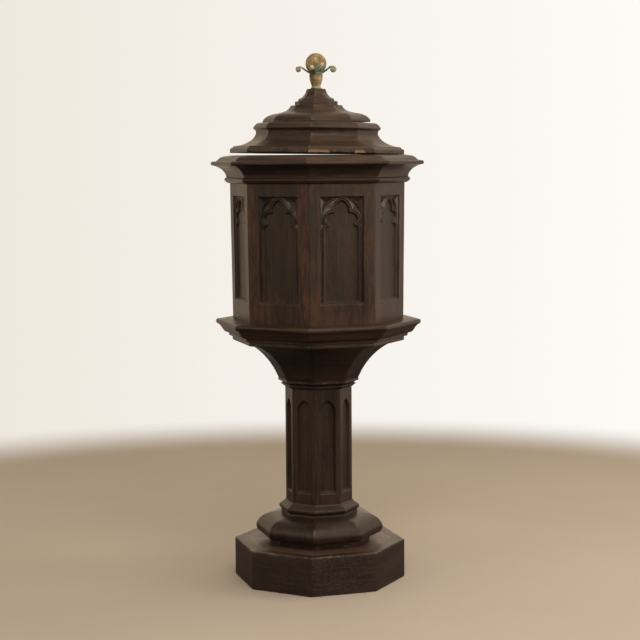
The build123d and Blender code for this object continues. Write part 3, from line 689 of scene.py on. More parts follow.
moulding("necking", "necking_moulding",
         ring(COLUMN_BORE, [
             (73.4, 413.4, 0.3), (75.0, 414.4), (75.9, 416.2), (76.0, 416.9, 0.1),
             (78.2, 417.2, 0.3), (79.6, 417.9), (80.2, 419.0), (79.8, 420.2), (78.8, 421.0, 0.2),
             (77.2, 421.4, 0.1), (77.9, 422.8), (79.7, 424.3), (82.0, 425.4), (84.4, 426.0, 0.1),
             (86.2, 426.3, 0.3), (86.4, 430.0, 0.25), (85.9, 430.55, 0.1)]),
         seed=5, step=4.0, red=0.15, dent=0.3)
CORBEL_COVE = dict(reach=218.43, z=379.93, radius=142)  # centre and radius of its hollow face
moulding("corbel", "corbel_segments",
         [flat(112.15, 511.95), flat(112.15, 493.5), flat(COLUMN_BORE, 456),
          flat(COLUMN_BORE, 430.6), (85.9, 430.6, 0.2)]
         + [(CORBEL_COVE["reach"] - CORBEL_COVE["radius"] * math.sin(math.radians(t)),
             CORBEL_COVE["z"] + CORBEL_COVE["radius"] * math.cos(math.radians(t)))
            for t in np.linspace(68.93, 21.62, 14)[:-1]]
         + [(166.1, 511.95, 0.3)],
         # painted shade: the corbel, under the shelf, is given a darker tone
         seed=6, step=6.0, waver=0.25, red=0.15, pale=-0.7)
moulding("shelf_edge", "shelf_moulding",
         ring(145.97, [
             (189.6, 521.5, 0.4), (191.4, 522.6, 0.4), (191.6, 527.0, 0.4), (193.0, 528.2, 0.3),
             (195.6, 528.7, 0.3), (199.2, 529.8), (202.4, 532.2), (204.9, 535.6), (207.2, 539.0),
             (209.6, 542.2), (212.2, 545.0, 0.2), (212.4, 545.5, 0.1)]),
         seed=7)
moulding("shelf_top", "shelf_frame",
         ring(120, [
             (213.0, 545.55, 0.3), (216.6, 547.4, 0.6), (218.6, 549.8), (219.3, 552.4),
             (218.7, 555.2), (216.6, 557.6, 0.8), (184.0, SHELF_TOP, 0.3)]),
         seed=8, waver=0.25, dent=0.8)
moulding("cornice_bead_run", "cornice_bead",
         ring(CORNICE_BORE, [
             (187.8, CORNICE_FOOT, 0.4), (191.2, 847.2), (194.4, 849.5), (196.6, 851.9),
             (197.3, 854.1), (196.4, 856.4), (194.6, 858.0, 0.3)]),
         seed=9)
moulding("cornice_cove_run", "cornice_cove",
         ring(CORNICE_BORE, [
             (193.2, 858.05, 0.3), (193.2, 859.8, 0.3), (194.0, 863.2), (195.7, 866.8),
             (198.1, 870.3), (201.0, 873.5), (204.8, 876.5), (209.6, 879.3), (214.8, 881.6),
             (220.2, 883.2, 0.3), (222.8, DRUM_TOP, 0.2)]),
         seed=10)
moulding("rim_nose", "rim_nose_frame",
         ring(143.0, [
             (224.0, 884.0, 0.5), (225.7, 885.6), (226.2, 887.9), (225.4, 890.2),
             (223.8, 891.8, 0.5), (215.0, 892.6, 0.2)]),
         seed=11, bore=143.0, dent=0.9)
moulding("rim_top", "rim_top_frame",
         ring(152.0, [
             (214.8, 892.65, 0.2), (214.4, 893.4, 0.3), (212.4, 894.6), (210.0, 896.8),
             (207.2, 899.0), (204.0, 900.9), (200.0, 902.2, 0.3), (187.0, 904.2, 0.2),
             (184.0, 904.5, 0.2)]),
         # painted shade: the rim top is given a darker tone, which damps its brightness
         seed=12, bore=152.0, pale=-0.5)
octagon_block("shelf_under", "shelf_under_board",
              [(181.6, 512.0, 0.3), (183.2, 512.6), (184.0, 514.2, 0.4), (184.0, 521.45, 0.4)],
              "stand", seed=21, cuts=24, grain_turn=20)


# ---------------------------------------------------------------------------
# carved staves: a height field on the front, plain sides and back
# ---------------------------------------------------------------------------
def line_distance(x, y, line):
    """Distance from each point to a polyline."""
    best = np.full(x.shape, 1e9)
    for (x0, y0), (x1, y1) in zip(line[:-1], line[1:]):
        dx, dy = x1 - x0, y1 - y0
        t = np.clip(((x - x0) * dx + (y - y0) * dy) / (dx * dx + dy * dy + 1e-12), 0, 1)
        best = np.minimum(best, (x - x0 - t * dx) ** 2 + (y - y0 - t * dy) ** 2)
    return np.sqrt(best)


def inside(x, y, polygon):
    result = np.zeros(x.shape, bool)
    for (x0, y0), (x1, y1) in zip(polygon, polygon[1:] + polygon[:1]):
        if y0 != y1:
            result ^= ((y0 > y) != (y1 > y)) & (x < (x1 - x0) * (y - y0) / (y1 - y0) + x0)
    return result


def mirrored(line):
    """Polygon from the right half of a symmetric outline."""
    return line + [(-x, y) for x, y in line[::-1]]


def averaged(depth, across, height, spread):
    """Depth averaged over a point and six round it, which softens the cuts."""
    offsets = [(0.0, 0.0)] + [(spread * math.cos(t), spread * math.sin(t))
                              for t in np.linspace(0, 2 * math.pi, 7)[:-1]]
    return sum(depth(across + dx, height + dy) for dx, dy in offsets) / len(offsets)


# right halves of the carved outlines: (distance from the middle, height)
FOIL_SIDE = 38.4
FOIL = ([(0.0, 814.5)]
        + [(-6.6 + 24.4 * math.cos(math.radians(t)), 791.0 + 24.4 * math.sin(math.radians(t)))
           for t in np.linspace(72, 2, 16)]
        + [(18.2, 789.6)]
        + [tuple(q) for q in spline([
            (18.6, 789.4), (24.6, 789.0), (31.0, 785.6), (35.4, 779.6), (36.2, 773.0),
            (34.0, 767.4), (29.8, 764.4)], 1.2)]
        + [tuple(q) for q in spline([
            (30.2, 762.6), (33.6, 761.4), (36.6, 758.0), (38.1, 753.0), (FOIL_SIDE, 746.0)], 1.2)]
        + [(FOIL_SIDE, 700.0), (FOIL_SIDE, 612.0), (FOIL_SIDE, 600.0)])
ARCH = [
    (0.0, 818.9), (5.0, 818.2), (10.0, 816.3), (15.0, 814.9), (20.0, 813.3), (24.0, 811.6),
    (28.0, 809.3), (31.0, 807.2), (33.5, 804.9), (35.2, 802.6), (36.7, 799.8), (38.0, 797.0),
    (39.2, 793.6), (40.2, 790.0), (41.0, 786.0), (41.9, 780.0), (42.6, 774.0), (43.4, 768.0),
    (44.2, 759.0), (45.4, 748.0)]
FOIL_SHAPE = mirrored(FOIL)
ARCH_SHAPE = mirrored(ARCH + [(45.4, 590.0)])
# the sunk field: foot, and where its walls start and end at the sides and head
FIELD_FOOT = 601.0
FIELD_SIDE, FIELD_SIDE_TOP = 45.0, 46.0
FIELD_HEAD, FIELD_HEAD_TOP = 818.8, 820.0


def foil_depth(x, y):
    """Depth below the face of a drum panel; x is the distance from the middle."""
    to_foil = line_distance(x, y, FOIL)
    to_arch = line_distance(x, y, ARCH)
    to_head = np.where(x < FIELD_SIDE_TOP, np.abs(FIELD_HEAD - y), 1e9)
    to_frame = np.minimum(np.abs(FIELD_SIDE - x), to_head)
    in_foil = inside(x, y, FOIL_SHAPE) | ((x < FOIL_SIDE) & (y <= 612))
    under_arch = (x < 45.6) & inside(x, y, ARCH_SHAPE)
    sunk = np.minimum(2.6 + 1.5 * np.maximum(to_foil - 1.0, 0), 7.0)
    # a fine groove beside the foil, then a broad facet falling outward to the arch; outside the
    # arch the corner is hollowed, with sloping walls
    facet = np.interp(to_foil, [0.0, 1.0, 2.1, 3.3, 13.3], [2.6, 2.6, 4.5, 2.5, 7.2])
    fall = np.interp(y, [764.0, 778.0], [0.95, 0.50])
    corner = np.minimum(7.2, 3.0 + fall * np.maximum(to_frame - 0.3, 0))
    arch_ridge = 3.6 + 2.4 * np.maximum(to_arch - 0.55, 0)
    around = np.minimum(np.where(under_arch, facet, corner), arch_ridge)
    around = np.where(to_foil < 1.0, np.minimum(around, 2.6), around)
    depth = np.where(in_foil, sunk, around)
    side_wall = np.clip((FIELD_SIDE_TOP - x) / 1.0, 0, 1)
    head_wall = np.clip((FIELD_HEAD_TOP - y) / 1.2, 0, 1)
    wall = np.minimum(side_wall, head_wall) * 3.0
    depth = np.where((x > FIELD_SIDE) | (y > FIELD_HEAD), wall, depth)
    return np.minimum(depth, np.clip(y - FIELD_FOOT, 0, 7.0))


def carve_foil(across, height, wander):
    """wander shifts the lines a little, as a hand would."""
    return averaged(foil_depth, np.abs(across + wander[0]), height + wander[1], 0.34)


LANCET_HALF, LANCET_RADIUS, LANCET_SPRING = 17.0, 27.8, 364.0
LANCET = [(LANCET_HALF, 150.0), (LANCET_HALF, LANCET_SPRING)] + [
    (LANCET_HALF - LANCET_RADIUS + LANCET_RADIUS * math.cos(t),
     LANCET_SPRING + LANCET_RADIUS * math.sin(t))
    for t in np.linspace(0.06, math.acos((LANCET_RADIUS - LANCET_HALF) / LANCET_RADIUS), 14)]
LANCET_SHAPE = mirrored(LANCET)


def lancet_depth(x, y):
    """Depth below the face of a column stave."""
    sunk = np.minimum(0.2 + line_distance(x, y, LANCET) * 2.3, 6.0)
    sill = np.interp(y, [190.0, 190.3, 194.6, 195.4], [0.0, 0.3, 5.6, 6.0])
    return np.minimum(np.where(inside(x, y, LANCET_SHAPE), sunk, 0.0), sill)


def carve_lancet(across, height, wander):
    return averaged(lancet_depth, np.abs(across + wander[0] * 0.6), height + wander[1] * 0.6,
                    0.35)


def bending(depth, place, axis):
    """Change of slope at each point: positive in hollows of the depth, which are ridges."""
    slope = np.diff(depth, axis=axis) / np.maximum(np.diff(place, axis=axis), 1e-3)
    return np.diff(slope, axis=axis, prepend=0.0, append=0.0)


STAVE_GAP = 0.054  # kept back from the mitre at each side


def stave(name, node, side, carved, heights, face, back, carve, seed, bevel, red):
    """A stave whose front is carved.

    carved lists the cross positions of the carved columns; more columns fill out to the mitre.
    face gives the front apothem at each height, back is the apothem of the back, and red gives
    the redness at (y, z).
    """
    front_reach = face(heights)
    half = front_reach * TAN_HALF - STAVE_GAP
    rows = len(heights)
    last = carved.max()
    right = [last + (half - bevel - last) * part for part in (0.30, 0.62, 0.90)]
    right += [half - bevel, half - 0.3 * bevel, half]
    drop = [0, 0, 0, 0, 0.22 * bevel, bevel * 0.75]
    rub = [0, 0, 0.1, 0.6, 0.8, 0.4]
    plain = [0] * len(carved)
    columns = [-place for place in right[::-1]] + [np.full(rows, place) for place in carved]
    y = np.stack(columns + right, 1)
    edge_drop = np.array(drop[::-1] + plain + drop, float)
    edge_wear = np.array(rub[::-1] + plain + rub)
    z = np.broadcast_to(heights[:, None], y.shape)
    spot = np.stack([y.ravel(), z.ravel(), np.full(y.size, seed * 137.0)], 1)

    def noise(size, number, octaves=2, squash=1.0):
        place = spot * np.array([1, squash, 1])
        return layered_noise(place, 1 / size, seed + number, octaves).reshape(y.shape)

    wander = ((noise(20.0, 1) - 0.5) * 0.9, (noise(17.0, 2) - 0.5) * 0.9)
    depth = carve(y, z, wander)
    waves = (noise(42.0, 3) - 0.5) * 0.28
    tool_marks = (noise(5.0, 6, squash=0.45) - 0.5) * 0.30 * np.clip(depth / 1.5, 0, 1)
    curve = bending(depth, y, 1) + bending(depth, z, 0)
    for axis in (0, 1):
        curve = (np.roll(curve, 1, axis) + 2 * curve + np.roll(curve, -1, axis)) / 4
    ridge = np.clip(curve * 0.55, 0, 1)
    valley = np.clip(-curve * 0.45, 0, 1)
    x = front_reach[:, None] - edge_drop - depth + waves - tool_marks
    front = np.stack([x, y, z], -1).reshape(-1, 3)
    knocks = np.clip(noise(11.0, 7, octaves=3) - 0.5, 0, 1) * 3.0
    wear = np.maximum(edge_wear, ridge * 0.8)
    wear = np.clip(wear * (0.25 + 1.5 * knocks + 0.5 * noise(25.0, 8)), 0, 1.1)
    # painted shade: the wood darkens with the depth of the carving and in its creases, and the
    # chamfers at the joints are made fully dark
    cav = np.clip(valley + np.clip(depth / 9.0, 0, 1) * 0.25, 0, 1)
    cav[:, [0, 1, -2, -1]] = 1.0

    cols = y.shape[1]
    faces = [(i * cols + j, i * cols + j + 1, (i + 1) * cols + j + 1, (i + 1) * cols + j)
             for i in range(rows - 1) for j in range(cols - 1)]
    # the border of the front is carried straight back and closed by one face
    grid = np.arange(rows * cols).reshape(rows, cols)
    border = np.concatenate([grid[0], grid[1:, -1], grid[-1, -2::-1], grid[-2:0:-1, 0]])
    size = len(border)
    back_y = front[border, 1] / half[border // cols] * (back * TAN_HALF - STAVE_GAP)
    behind = np.stack([np.full(size, back), back_y, front[border, 2]], 1)
    start = rows * cols
    for i in range(size):
        after = (i + 1) % size
        faces.append((border[after], border[i], start + i, start + after))
    faces.append(tuple(range(start, start + size))[::-1])
    verts = np.concatenate([front, behind])
    grain = verts[:, [2, 1, 0]] + RNG.rand(3) * 900
    unmarked = np.zeros(size)
    piece = Piece()
    piece.add(turned(verts, side * SIDE_ANGLE), faces, grain,
              wear=np.concatenate([wear.ravel(), unmarked]), tone=RNG.rand(),
              red=red(verts[:, 1], verts[:, 2]), cav=np.concatenate([cav.ravel(), unmarked]))
    piece.make(name, "stand", node, OAK, sharp=50)


def stations(*runs):
    """Places from runs of (first, last, count)."""
    return np.round(np.concatenate([np.linspace(*run) for run in runs]), 3)


DRUM_FOOT = SHELF_TOP + JOINT
DRUM_FACE_FOOT, DRUM_FACE_TOP = 168.47, 171.38  # apothems: the drum widens up to the cornice


def drum_face(z):
    rise = (z - DRUM_FOOT) / (CORNICE_FOOT - DRUM_FOOT)
    sloped = DRUM_FACE_FOOT + (DRUM_FACE_TOP - DRUM_FACE_FOOT) * rise
    return np.where(z < CORNICE_FOOT, sloped, DRUM_FACE_TOP)


# redness added at the left margin, the right margin and the foot of a drum panel
PANEL_RED = {6: (0.65, 0.65, 0.5), 7: (0.15, 0.55, 0.35)}
OTHER_RED = (0.35, 0.35, 0.25)


def panel_red(number):
    left, right, foot = PANEL_RED.get(number, OTHER_RED)

    def red(y, z):
        return np.clip(0.18 + left * np.clip((-y - 40) / 8, 0, 1)
                       + right * np.clip((y - 40) / 8, 0, 1)
                       + foot * np.clip((640 - z) / 60, 0, 1), 0, 1)
    return red


DRUM_ACROSS = stations((-47.4, 47.4, 155))
DRUM_HEIGHTS = stations((DRUM_FOOT, 599, 7), (599.8, 610, 18), (613, 744, 34),
                        (745, 822, 128), (826, CORNICE_FOOT, 5),
                        (850, DRUM_TOP, 4))
for number in range(1, 9):
    stave(f"carved_panel_{number}", f"drum_panel_{number}", number - 1, DRUM_ACROSS,
          DRUM_HEIGHTS, drum_face, 148.2, carve_foil, seed=30 + number,
          bevel=1.6 if number in (6, 7) else 0.8, red=panel_red(number))

COLUMN_ACROSS = stations((-18.4, 18.4, 47))
COLUMN_HEIGHTS = stations((BASE_TOP + JOINT, 186, 12), (188.5, 206, 24), (210, 360, 40),
                          (361, 392, 40), (396, 494, 12))
for number in range(1, 9):
    stave(f"lancet_stave_{number}", f"column_stave_{number}", number - 1, COLUMN_ACROSS,
          COLUMN_HEIGHTS, lambda z: np.full_like(z, COLUMN_FACE), 50.06, carve_lancet,
          seed=50 + number, bevel=0.7, red=lambda y, z: 0.25)

# ---------------------------------------------------------------------------
# lid
# ---------------------------------------------------------------------------
LID_FOOT = 907.2
DOME_FOOT = 971.5
LEAN = np.array(Matrix.Rotation(math.radians(0.86), 3, Vector((0, 1, 0))))


def lean(verts):
    """The lower rings of the lid dip slightly towards +x."""
    pivot = np.array([0, 0, LID_FOOT])
    return (verts - pivot) @ LEAN.T + pivot


def dome_foot(verts):
    """The dome's foot follows the leaning ring, then opens away from it towards +x."""
    x, y, z = verts.T
    foot = 971.52 - 0.01501 * x + np.where(x > 30, 0.035 * (x - 30), 0.0)
    share = np.clip((974.9 - z) / (974.9 - DOME_FOOT), 0, 1)
    return np.stack([x, y, z + (foot - DOME_FOOT) * share], 1)


def lid_chips(side, verts, rim, wear, chip, cav):
    """The lower arris on side 6 is broken away in two places, down to raw wood."""
    if side != 6:
        return verts, wear, chip, cav
    across = verts[:, 1]
    ragged_top = 909.4 + 1.6 * layered_noise(verts, 1 / 5.0, 77, 2)
    low = (verts[:, 2] < ragged_top) & (verts[:, 0] > rim - 4.5)
    run = stretch_of(across, -72, -25, 3, 6) + stretch_of(across, 28, 51, 3, 4)
    crumbs = layered_noise(verts, 1 / 6.0, 75, 2) > 0.5
    run = np.maximum(run, 0.5 * stretch_of(across, -20, 22, 3, 3) * crumbs)
    ragged = 0.75 + 0.8 * (layered_noise(verts, 1 / 4.0, 71, 3) - 0.5) * 2
    amount = np.clip(run * ragged, 0, 1) * low
    moved = verts.copy()
    moved[:, 2] += amount * 1.5 * np.clip((911.5 - moved[:, 2]) / 3.5, 0, 1)
    moved[:, 0] -= amount * 1.3
    bare = layered_noise(verts, 1 / 2.5, 72, 2) > 0.30
    chip = np.maximum(chip, np.clip(amount * 2.2 * bare, 0, 1))
    # between the two chips the arris is gone, and the wood left there is darkened as painted
    # shadow under the lid's edge
    worn_and_shaded = stretch_of(across, -24, 27, 3, 3) * (moved[:, 2] < 910.2) * (moved[:, 0] > rim - 4.5)
    moved[:, 2] += worn_and_shaded * 0.9
    return moved, wear, chip, np.maximum(cav, worn_and_shaded * 0.95)


moulding("lid_base", "lid_base_frame",
         ring(LID_BORE, [
             (183.6, LID_FOOT, 0.4), (184.7, 908.4, 0.3), (184.7, 915.6, 0.4),
             (182.8, 917.2, 0.5)]),
         body="lid", place=lean, seed=13, damage=lid_chips, step=2.5, dent=0.7)
moulding("lid_ogee", "lid_ogee_ring",
         [flat(LID_BORE, 917.25), (181.6, 917.25, 0.2), (181.4, 917.9, 0.2), (179.4, 918.6),
          (178.0, 920.2), (177.4, 921.4, 0.3), (170.0, 922.4), (163.0, 923.6), (156.0, 925.7),
          (149.0, 928.8), (142.4, 932.5), (137.2, 936.4), (133.6, 940.4), (131.0, 944.4),
          (129.4, 947.95, 0.2), flat(97.93, 947.95), flat(101.6, 940.0)],
         body="lid", place=lean, seed=14, waver=0.25, pale=0.55)
moulding("lid_nose", "lid_nose_ring",
         ring(90.54, [
             (129.3, 948.0, 0.2), (129.3, 951.4, 0.3), (130.0, 954.0), (131.6, 956.2),
             (133.8, 957.6, 0.4), (135.1, 958.9), (135.4, 959.8), (134.3, 962.2, 0.5),
             (131.6, 965.8), (128.8, 968.6), (125.4, 970.6, 0.4), (121.0, 971.4, 0.3)]),
         body="lid", place=lean, seed=15)
moulding("lid_dome", "lid_dome_segments",
         [flat(18.48, 998), flat(42.5, DOME_FOOT), (114.0, DOME_FOOT, 0.3), (114.2, 975.6, 0.6),
          (112.6, 978.6), (109.8, 981.8), (106.2, 984.7), (101.8, 987.1), (96.0, 989.2),
          (89.0, 990.9), (81.5, 992.3), (74.0, 993.8), (67.4, 995.8), (62.2, 998.4),
          (58.4, 1001.6), (55.6, 1005.2), (54.4, 1007.7, 0.2), (54.0, 1008.0, 0.1),
          flat(18.48, 1008.0)],
         body="lid", seed=16, step=4.0, place=dome_foot)
octagon_block("lid_step_block", "lid_step",
              [(46.0, 1008.05, 0.2), (45.7, 1009.6, 0.2), (45.5, 1015.4, 0.5),
               (44.8, 1016.6, 0.3)],
              "lid", seed=22, cuts=8)
octagon_block("lid_cap_block", "lid_cap",
              [(38.8, 1016.65, 0.2), (38.6, 1018.6, 0.4), (38.0, 1020.4), (36.6, 1022.0),
               (35.4, 1022.7, 0.4), (31.6, 1024.3), (28.2, 1026.8), (25.2, 1030.2),
               (22.9, 1034.2), (21.4, 1038.4), (20.6, 1040.6, 0.2), (19.0, 1042.5, 0.4)],
              "lid", seed=23, cuts=8)


# ---------------------------------------------------------------------------
# metal, from outlines of (radius, height)
# ---------------------------------------------------------------------------
def joined(*parts):
    """An outline of single points, with each list among them run through as a smooth curve."""
    outline = []
    for part in parts:
        if isinstance(part, list):
            outline += spline([outline[-1], *part], 1.5)[1:]
        else:
            outline.append(np.array(part, float))
    return outline


def revolved(outline, count):
    """Rings of points about the z axis."""
    radius, height = np.array(outline, float).T
    angle = np.linspace(0, 2 * math.pi, count + 1)[:-1]
    heights = np.repeat(height[:, None], count, 1)
    return np.stack([np.outer(radius, np.cos(angle)), np.outer(radius, np.sin(angle)),
                     heights], -1).reshape(-1, 3)


def no_marks(verts):
    return 0.0


def lathe(name, node, outline, body, material, count, seed=0, bumps=0.0, cav=no_marks,
          chip=no_marks):
    """A turned piece; bumps is the depth of its unevenness."""
    verts = revolved(outline, count)
    radius = np.hypot(verts[:, 0], verts[:, 1])
    outward = verts * (1, 1, 0) / np.maximum(radius, 1e-3)[:, None]
    uneven = (layered_noise(verts, 1 / 9.0, seed, 3) - 0.5) * bumps * (radius > 0.5)
    verts = verts + outward * uneven[:, None]
    piece = Piece()
    piece.add(verts, tube_faces(len(outline), count), verts, cav=cav(verts), chip=chip(verts))
    piece.make(name, body, node, material, sharp=40)


lathe("basin_bowl", "basin",
      joined((0.6, 784.7), (20, 784.7), (58.0, 784.7),
             [(84.0, 789.7), (110.0, 806.7), (128.0, 832.7), (138.0, 866.7), (141.6, 889.7)],
             (142.0, 892.7), (147.9, 892.7),
             [(149.7, 893.4), (150.5, 895.3), (149.7, 897.2), (147.9, 897.9)],
             [(146.1, 897.1), (145.3, 895.3)], (145.1, 894.2), (140.6, 894.2),
             [(136.4, 867.1), (126.6, 833.5), (109.0, 808.1), (83.6, 791.3), (58.0, 786.2)],
             (20, 786.2), (0.6, 786.2)),
      "basin", BASIN_BRASS, count=144)


def verdigris(verts):
    """Green under the ball, round the leaf crown and in the neck's lower groove."""
    x, y, z = verts.T

    def band(centre, reach):
        return np.clip(1 - np.abs(z - centre) / reach, 0, 1)

    def patch(bearing, width, height):
        return np.exp(-((bearing) / width) ** 2 - ((z - height) / 6.0) ** 2)

    bands = np.maximum(band(1078.0, 4.0), 0.72 * band(1081.5, 7.5))
    bands = np.maximum(bands, 0.8 * band(1044.5, 2.2))
    bearing = ((np.arctan2(y, x) + 1.56 + math.pi) % (2 * math.pi)) - math.pi
    patches = np.maximum(patch(bearing, 0.30, 1082.5) * 1.6,
                         0.9 * patch(bearing - 1.0, 0.35, 1086.0))
    return np.clip(np.maximum(bands, patches * 1.5), 0, 1.6)


lathe("finial_stem", "finial_neck",
      joined((0.4, 1042.55), (10.6, 1042.55), [(11.4, 1043.3), (11.5, 1044.2), (10.2, 1045.2)],
             [(9.4, 1046.6), (9.9, 1050.0), (11.9, 1056.0), (13.5, 1061.6), (13.9, 1066.0),
              (13.9, 1070.4), (13.6, 1073.95)],
             (0.4, 1073.95)),
      "lid", BRASS, count=96, seed=41, bumps=0.25, cav=verdigris,
      # painted shade: the neck is darkened towards its top, under the ball
      chip=lambda verts: np.clip((verts[:, 2] - 1064) / 9, 0, 0.7))
BALL_RADIUS, BALL_CENTRE, BALL_FOOT = 22.1, 1094.8, 1076.95
lathe("finial_globe", "finial_ball",
      [(0.4, BALL_FOOT), (6.0, BALL_FOOT)]
      + [(BALL_RADIUS * math.cos(t), BALL_CENTRE + BALL_RADIUS * math.sin(t))
         for t in np.linspace(math.radians(-53.5), math.radians(88.9), 56)],
      "lid", BRASS, count=112, seed=43, bumps=0.45, cav=verdigris,
      # painted shade: the ball is darkened towards its underside
      chip=lambda verts: np.clip((1084 - verts[:, 2]) / 8, 0, 0.8))

CROWN_TURN = math.radians(-31.4)
# reach of each arm, size of its scroll, width of the scroll
CROWN_ARMS = [(0.96, 1.48, 10.0), (1.0, 1.1, 8.8), (1.04, 1.22, 8.8), (1.0, 1.0, 8.4)]


def roughened(verts, shift, size, seed, depth):
    noise = [layered_noise(verts + shift, 1 / size, seed + i, 2) for i in range(3)]
    return verts + (np.stack(noise, 1) - 0.5) * depth


def arm_line(reach, size):
    """Centre line (radius, height above the crown's foot) ending in a scroll, and its centre."""
    centre = np.array((37.4, 14.6 - 4.2 * size))
    scroll = [(centre[0] + size * radius * math.cos(math.radians(t)),
               centre[1] + size * radius * math.sin(math.radians(t)))
              for t, radius in zip(np.linspace(122, -250, 30), np.linspace(4.3, 2.9, 30))]
    arm = [(8.5, 1.6), (13.0, 2.2), (18.5, 4.6), (24.0, 8.6), (28.6, 12.0), (32.6, 14.3)]
    line = np.array(spline(arm + scroll[:1], 1.2) + [np.array(point) for point in scroll[1:]])
    shift = (reach - 1) * (centre[0] - 20)
    line[:, 0] += shift * np.clip((line[:, 0] - 20) / 12, 0, 1)
    return line, centre + np.array((shift, 0))


def crown_arm(piece, number, line, wide):
    """A ribbed, scalloped ribbon along the centre line."""
    angle = CROWN_TURN + number * math.pi / 2
    steps = np.linalg.norm(np.diff(line, axis=0), axis=1)
    share = np.concatenate([[0], np.cumsum(steps)])
    share = share / share[-1]
    along = np.gradient(line, axis=0)
    along /= np.linalg.norm(along, axis=1)[:, None] + 1e-9
    normal = np.stack([-along[:, 1], along[:, 0]], 1)
    width = np.interp(share, [0, 0.18, 0.36, 0.52, 0.75, 1.0],
                      [9.4, 7.6, 6.8, wide, wide * 0.96, wide * 0.8])
    thick = np.interp(share, [0, 0.3, 0.6, 1.0], [3.4, 3.6, 2.9, 2.2])
    count = 14
    turn = np.linspace(0, 2 * math.pi, count + 1)[:-1]
    cos, sin = np.cos(turn), np.sin(turn)
    across = np.sign(cos) * np.abs(cos) ** 0.75
    upward = np.sign(sin) * np.abs(sin) ** 0.8
    rib = 0.30 * np.exp(-(across / 0.22) ** 2) * (sin > 0)
    rise = upward / 2 + rib * 0.6 - 0.16 * np.abs(across) ** 2 * (sin > 0)
    place = line[:, None, :] + normal[:, None, :] * np.outer(thick, rise)[:, :, None]
    y = np.outer(width, across) / 2
    verts = np.stack([place[..., 0], y, place[..., 1] + CROWN_FOOT], -1).reshape(-1, 3)
    rows = len(line)
    shares = np.repeat(share, count)
    scallop = 0.5 * np.sin(shares * 34) * np.abs(np.tile(across, rows)) ** 3
    verts[:, 1] += scallop * np.sign(verts[:, 1])
    verts = turned(roughened(verts, number * 40, 6.0, 81, 0.8), angle)
    piece.add(verts, tube_faces(rows, count, flipped=True), verts,
              cav=np.clip(np.maximum(verdigris(verts) * 0.7, 0.6 * (shares < 0.25)), 0, 1),
              wear=np.clip((shares - 0.38) * 6, 0, 0.9),
              # painted shade: the arms are darkened near the hub, under the ball
              chip=np.clip((0.46 - shares) * 8, 0, 0.9))


def scroll_eye(piece, number, centre, size, wide):
    """A domed barrel filling the curl of a scroll."""
    radius, half = 3.0 * size, wide * 0.5 + 0.5
    outline = spline([
        (0.3, -half - 0.9), (radius * 0.55, -half - 0.6), (radius * 0.9, -half + 0.1),
        (radius, -half + 1.0), (radius * 0.96, 0.0), (radius, half - 1.0),
        (radius * 0.9, half - 0.1), (radius * 0.55, half + 0.6), (0.3, half + 0.9)], 0.9)
    count = 24
    # the barrel lies along y
    verts = revolved(outline, count)[:, [0, 2, 1]] + (centre[0], 0, centre[1] + CROWN_FOOT)
    verts = turned(roughened(verts, number * 31, 4.0, 91, 0.9),
                   CROWN_TURN + number * math.pi / 2)
    piece.add(verts, tube_faces(len(outline), count, flipped=True), verts, cav=0.25, wear=0.8)


def leaf_crown():
    """A flat hub with four scrolled arms."""
    piece = Piece()
    hub = [(0.4, CROWN_FOOT), (13.2, CROWN_FOOT), (13.8, 1074.5), (13.8, 1076.3),
           (13.2, 1076.9), (0.4, 1076.9)]
    verts = revolved(hub, 64)
    piece.add(verts, tube_faces(len(hub), 64), verts, cav=verdigris(verts))
    for number, (reach, size, wide) in enumerate(CROWN_ARMS):
        line, centre = arm_line(reach, size)
        crown_arm(piece, number, line, wide)
        scroll_eye(piece, number, centre, size, wide)
    obj = piece.make("leaf_crown", "lid", "finial_leaf_crown", BRASS, sharp=48)
    # the ribbons turn over at the scrolls, so each closed shell is made to face outward
    shell = bmesh.new()
    shell.from_mesh(obj.data)
    bmesh.ops.recalc_face_normals(shell, faces=shell.faces)
    shell.to_mesh(obj.data)
    shell.free()


leaf_crown()

# ---------------------------------------------------------------------------
# CAD pieces shown as they are, with a finish and softened edges
# ---------------------------------------------------------------------------
INSIDE_WOOD = (
    "column_head_board", "drum_floor", "base_top_board", "base_corner_blocks",
    "shelf_spacer_blocks", "drum_floor_blocks", "drum_rim_blocks", "column_plug_bottom",
    "column_plug_top", "lid_inner_board")
FIXINGS = (
    "base_screws", "head_screws", "shelf_screws", "finial_stud", "finial_washer", "finial_nut")


def dress(names, material, bevel):
    for name in names:
        # a frame may lack some of these pieces
        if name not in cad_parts:
            continue
        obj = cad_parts[name]
        obj.data.materials.clear()
        obj.data.materials.append(material)
        ease = obj.modifiers.new("ease", "BEVEL")
        ease.width = bevel * MM
        ease.segments = 2
        ease.limit_method = "ANGLE"
        ease.angle_limit = math.radians(40)


dress(INSIDE_WOOD, RAW_OAK, bevel=0.7)
dress(FIXINGS, STEEL, bevel=0.25)

# ---------------------------------------------------------------------------
# floor, world, lights, camera, in metres
# ---------------------------------------------------------------------------
AWAY = Vector((0.2987, 0.9543, 0)).normalized()  # level, from the camera into the scene
RIGHT = Vector((0.9543, -0.2987, 0)).normalized()
UP = Vector((0, 0, 1))
scene = bpy.context.scene


def towards(degrees):
    """Level direction by its bearing from the camera's side, positive to the right."""
    angle = math.radians(degrees)
    return RIGHT * math.sin(angle) - AWAY * math.cos(angle)


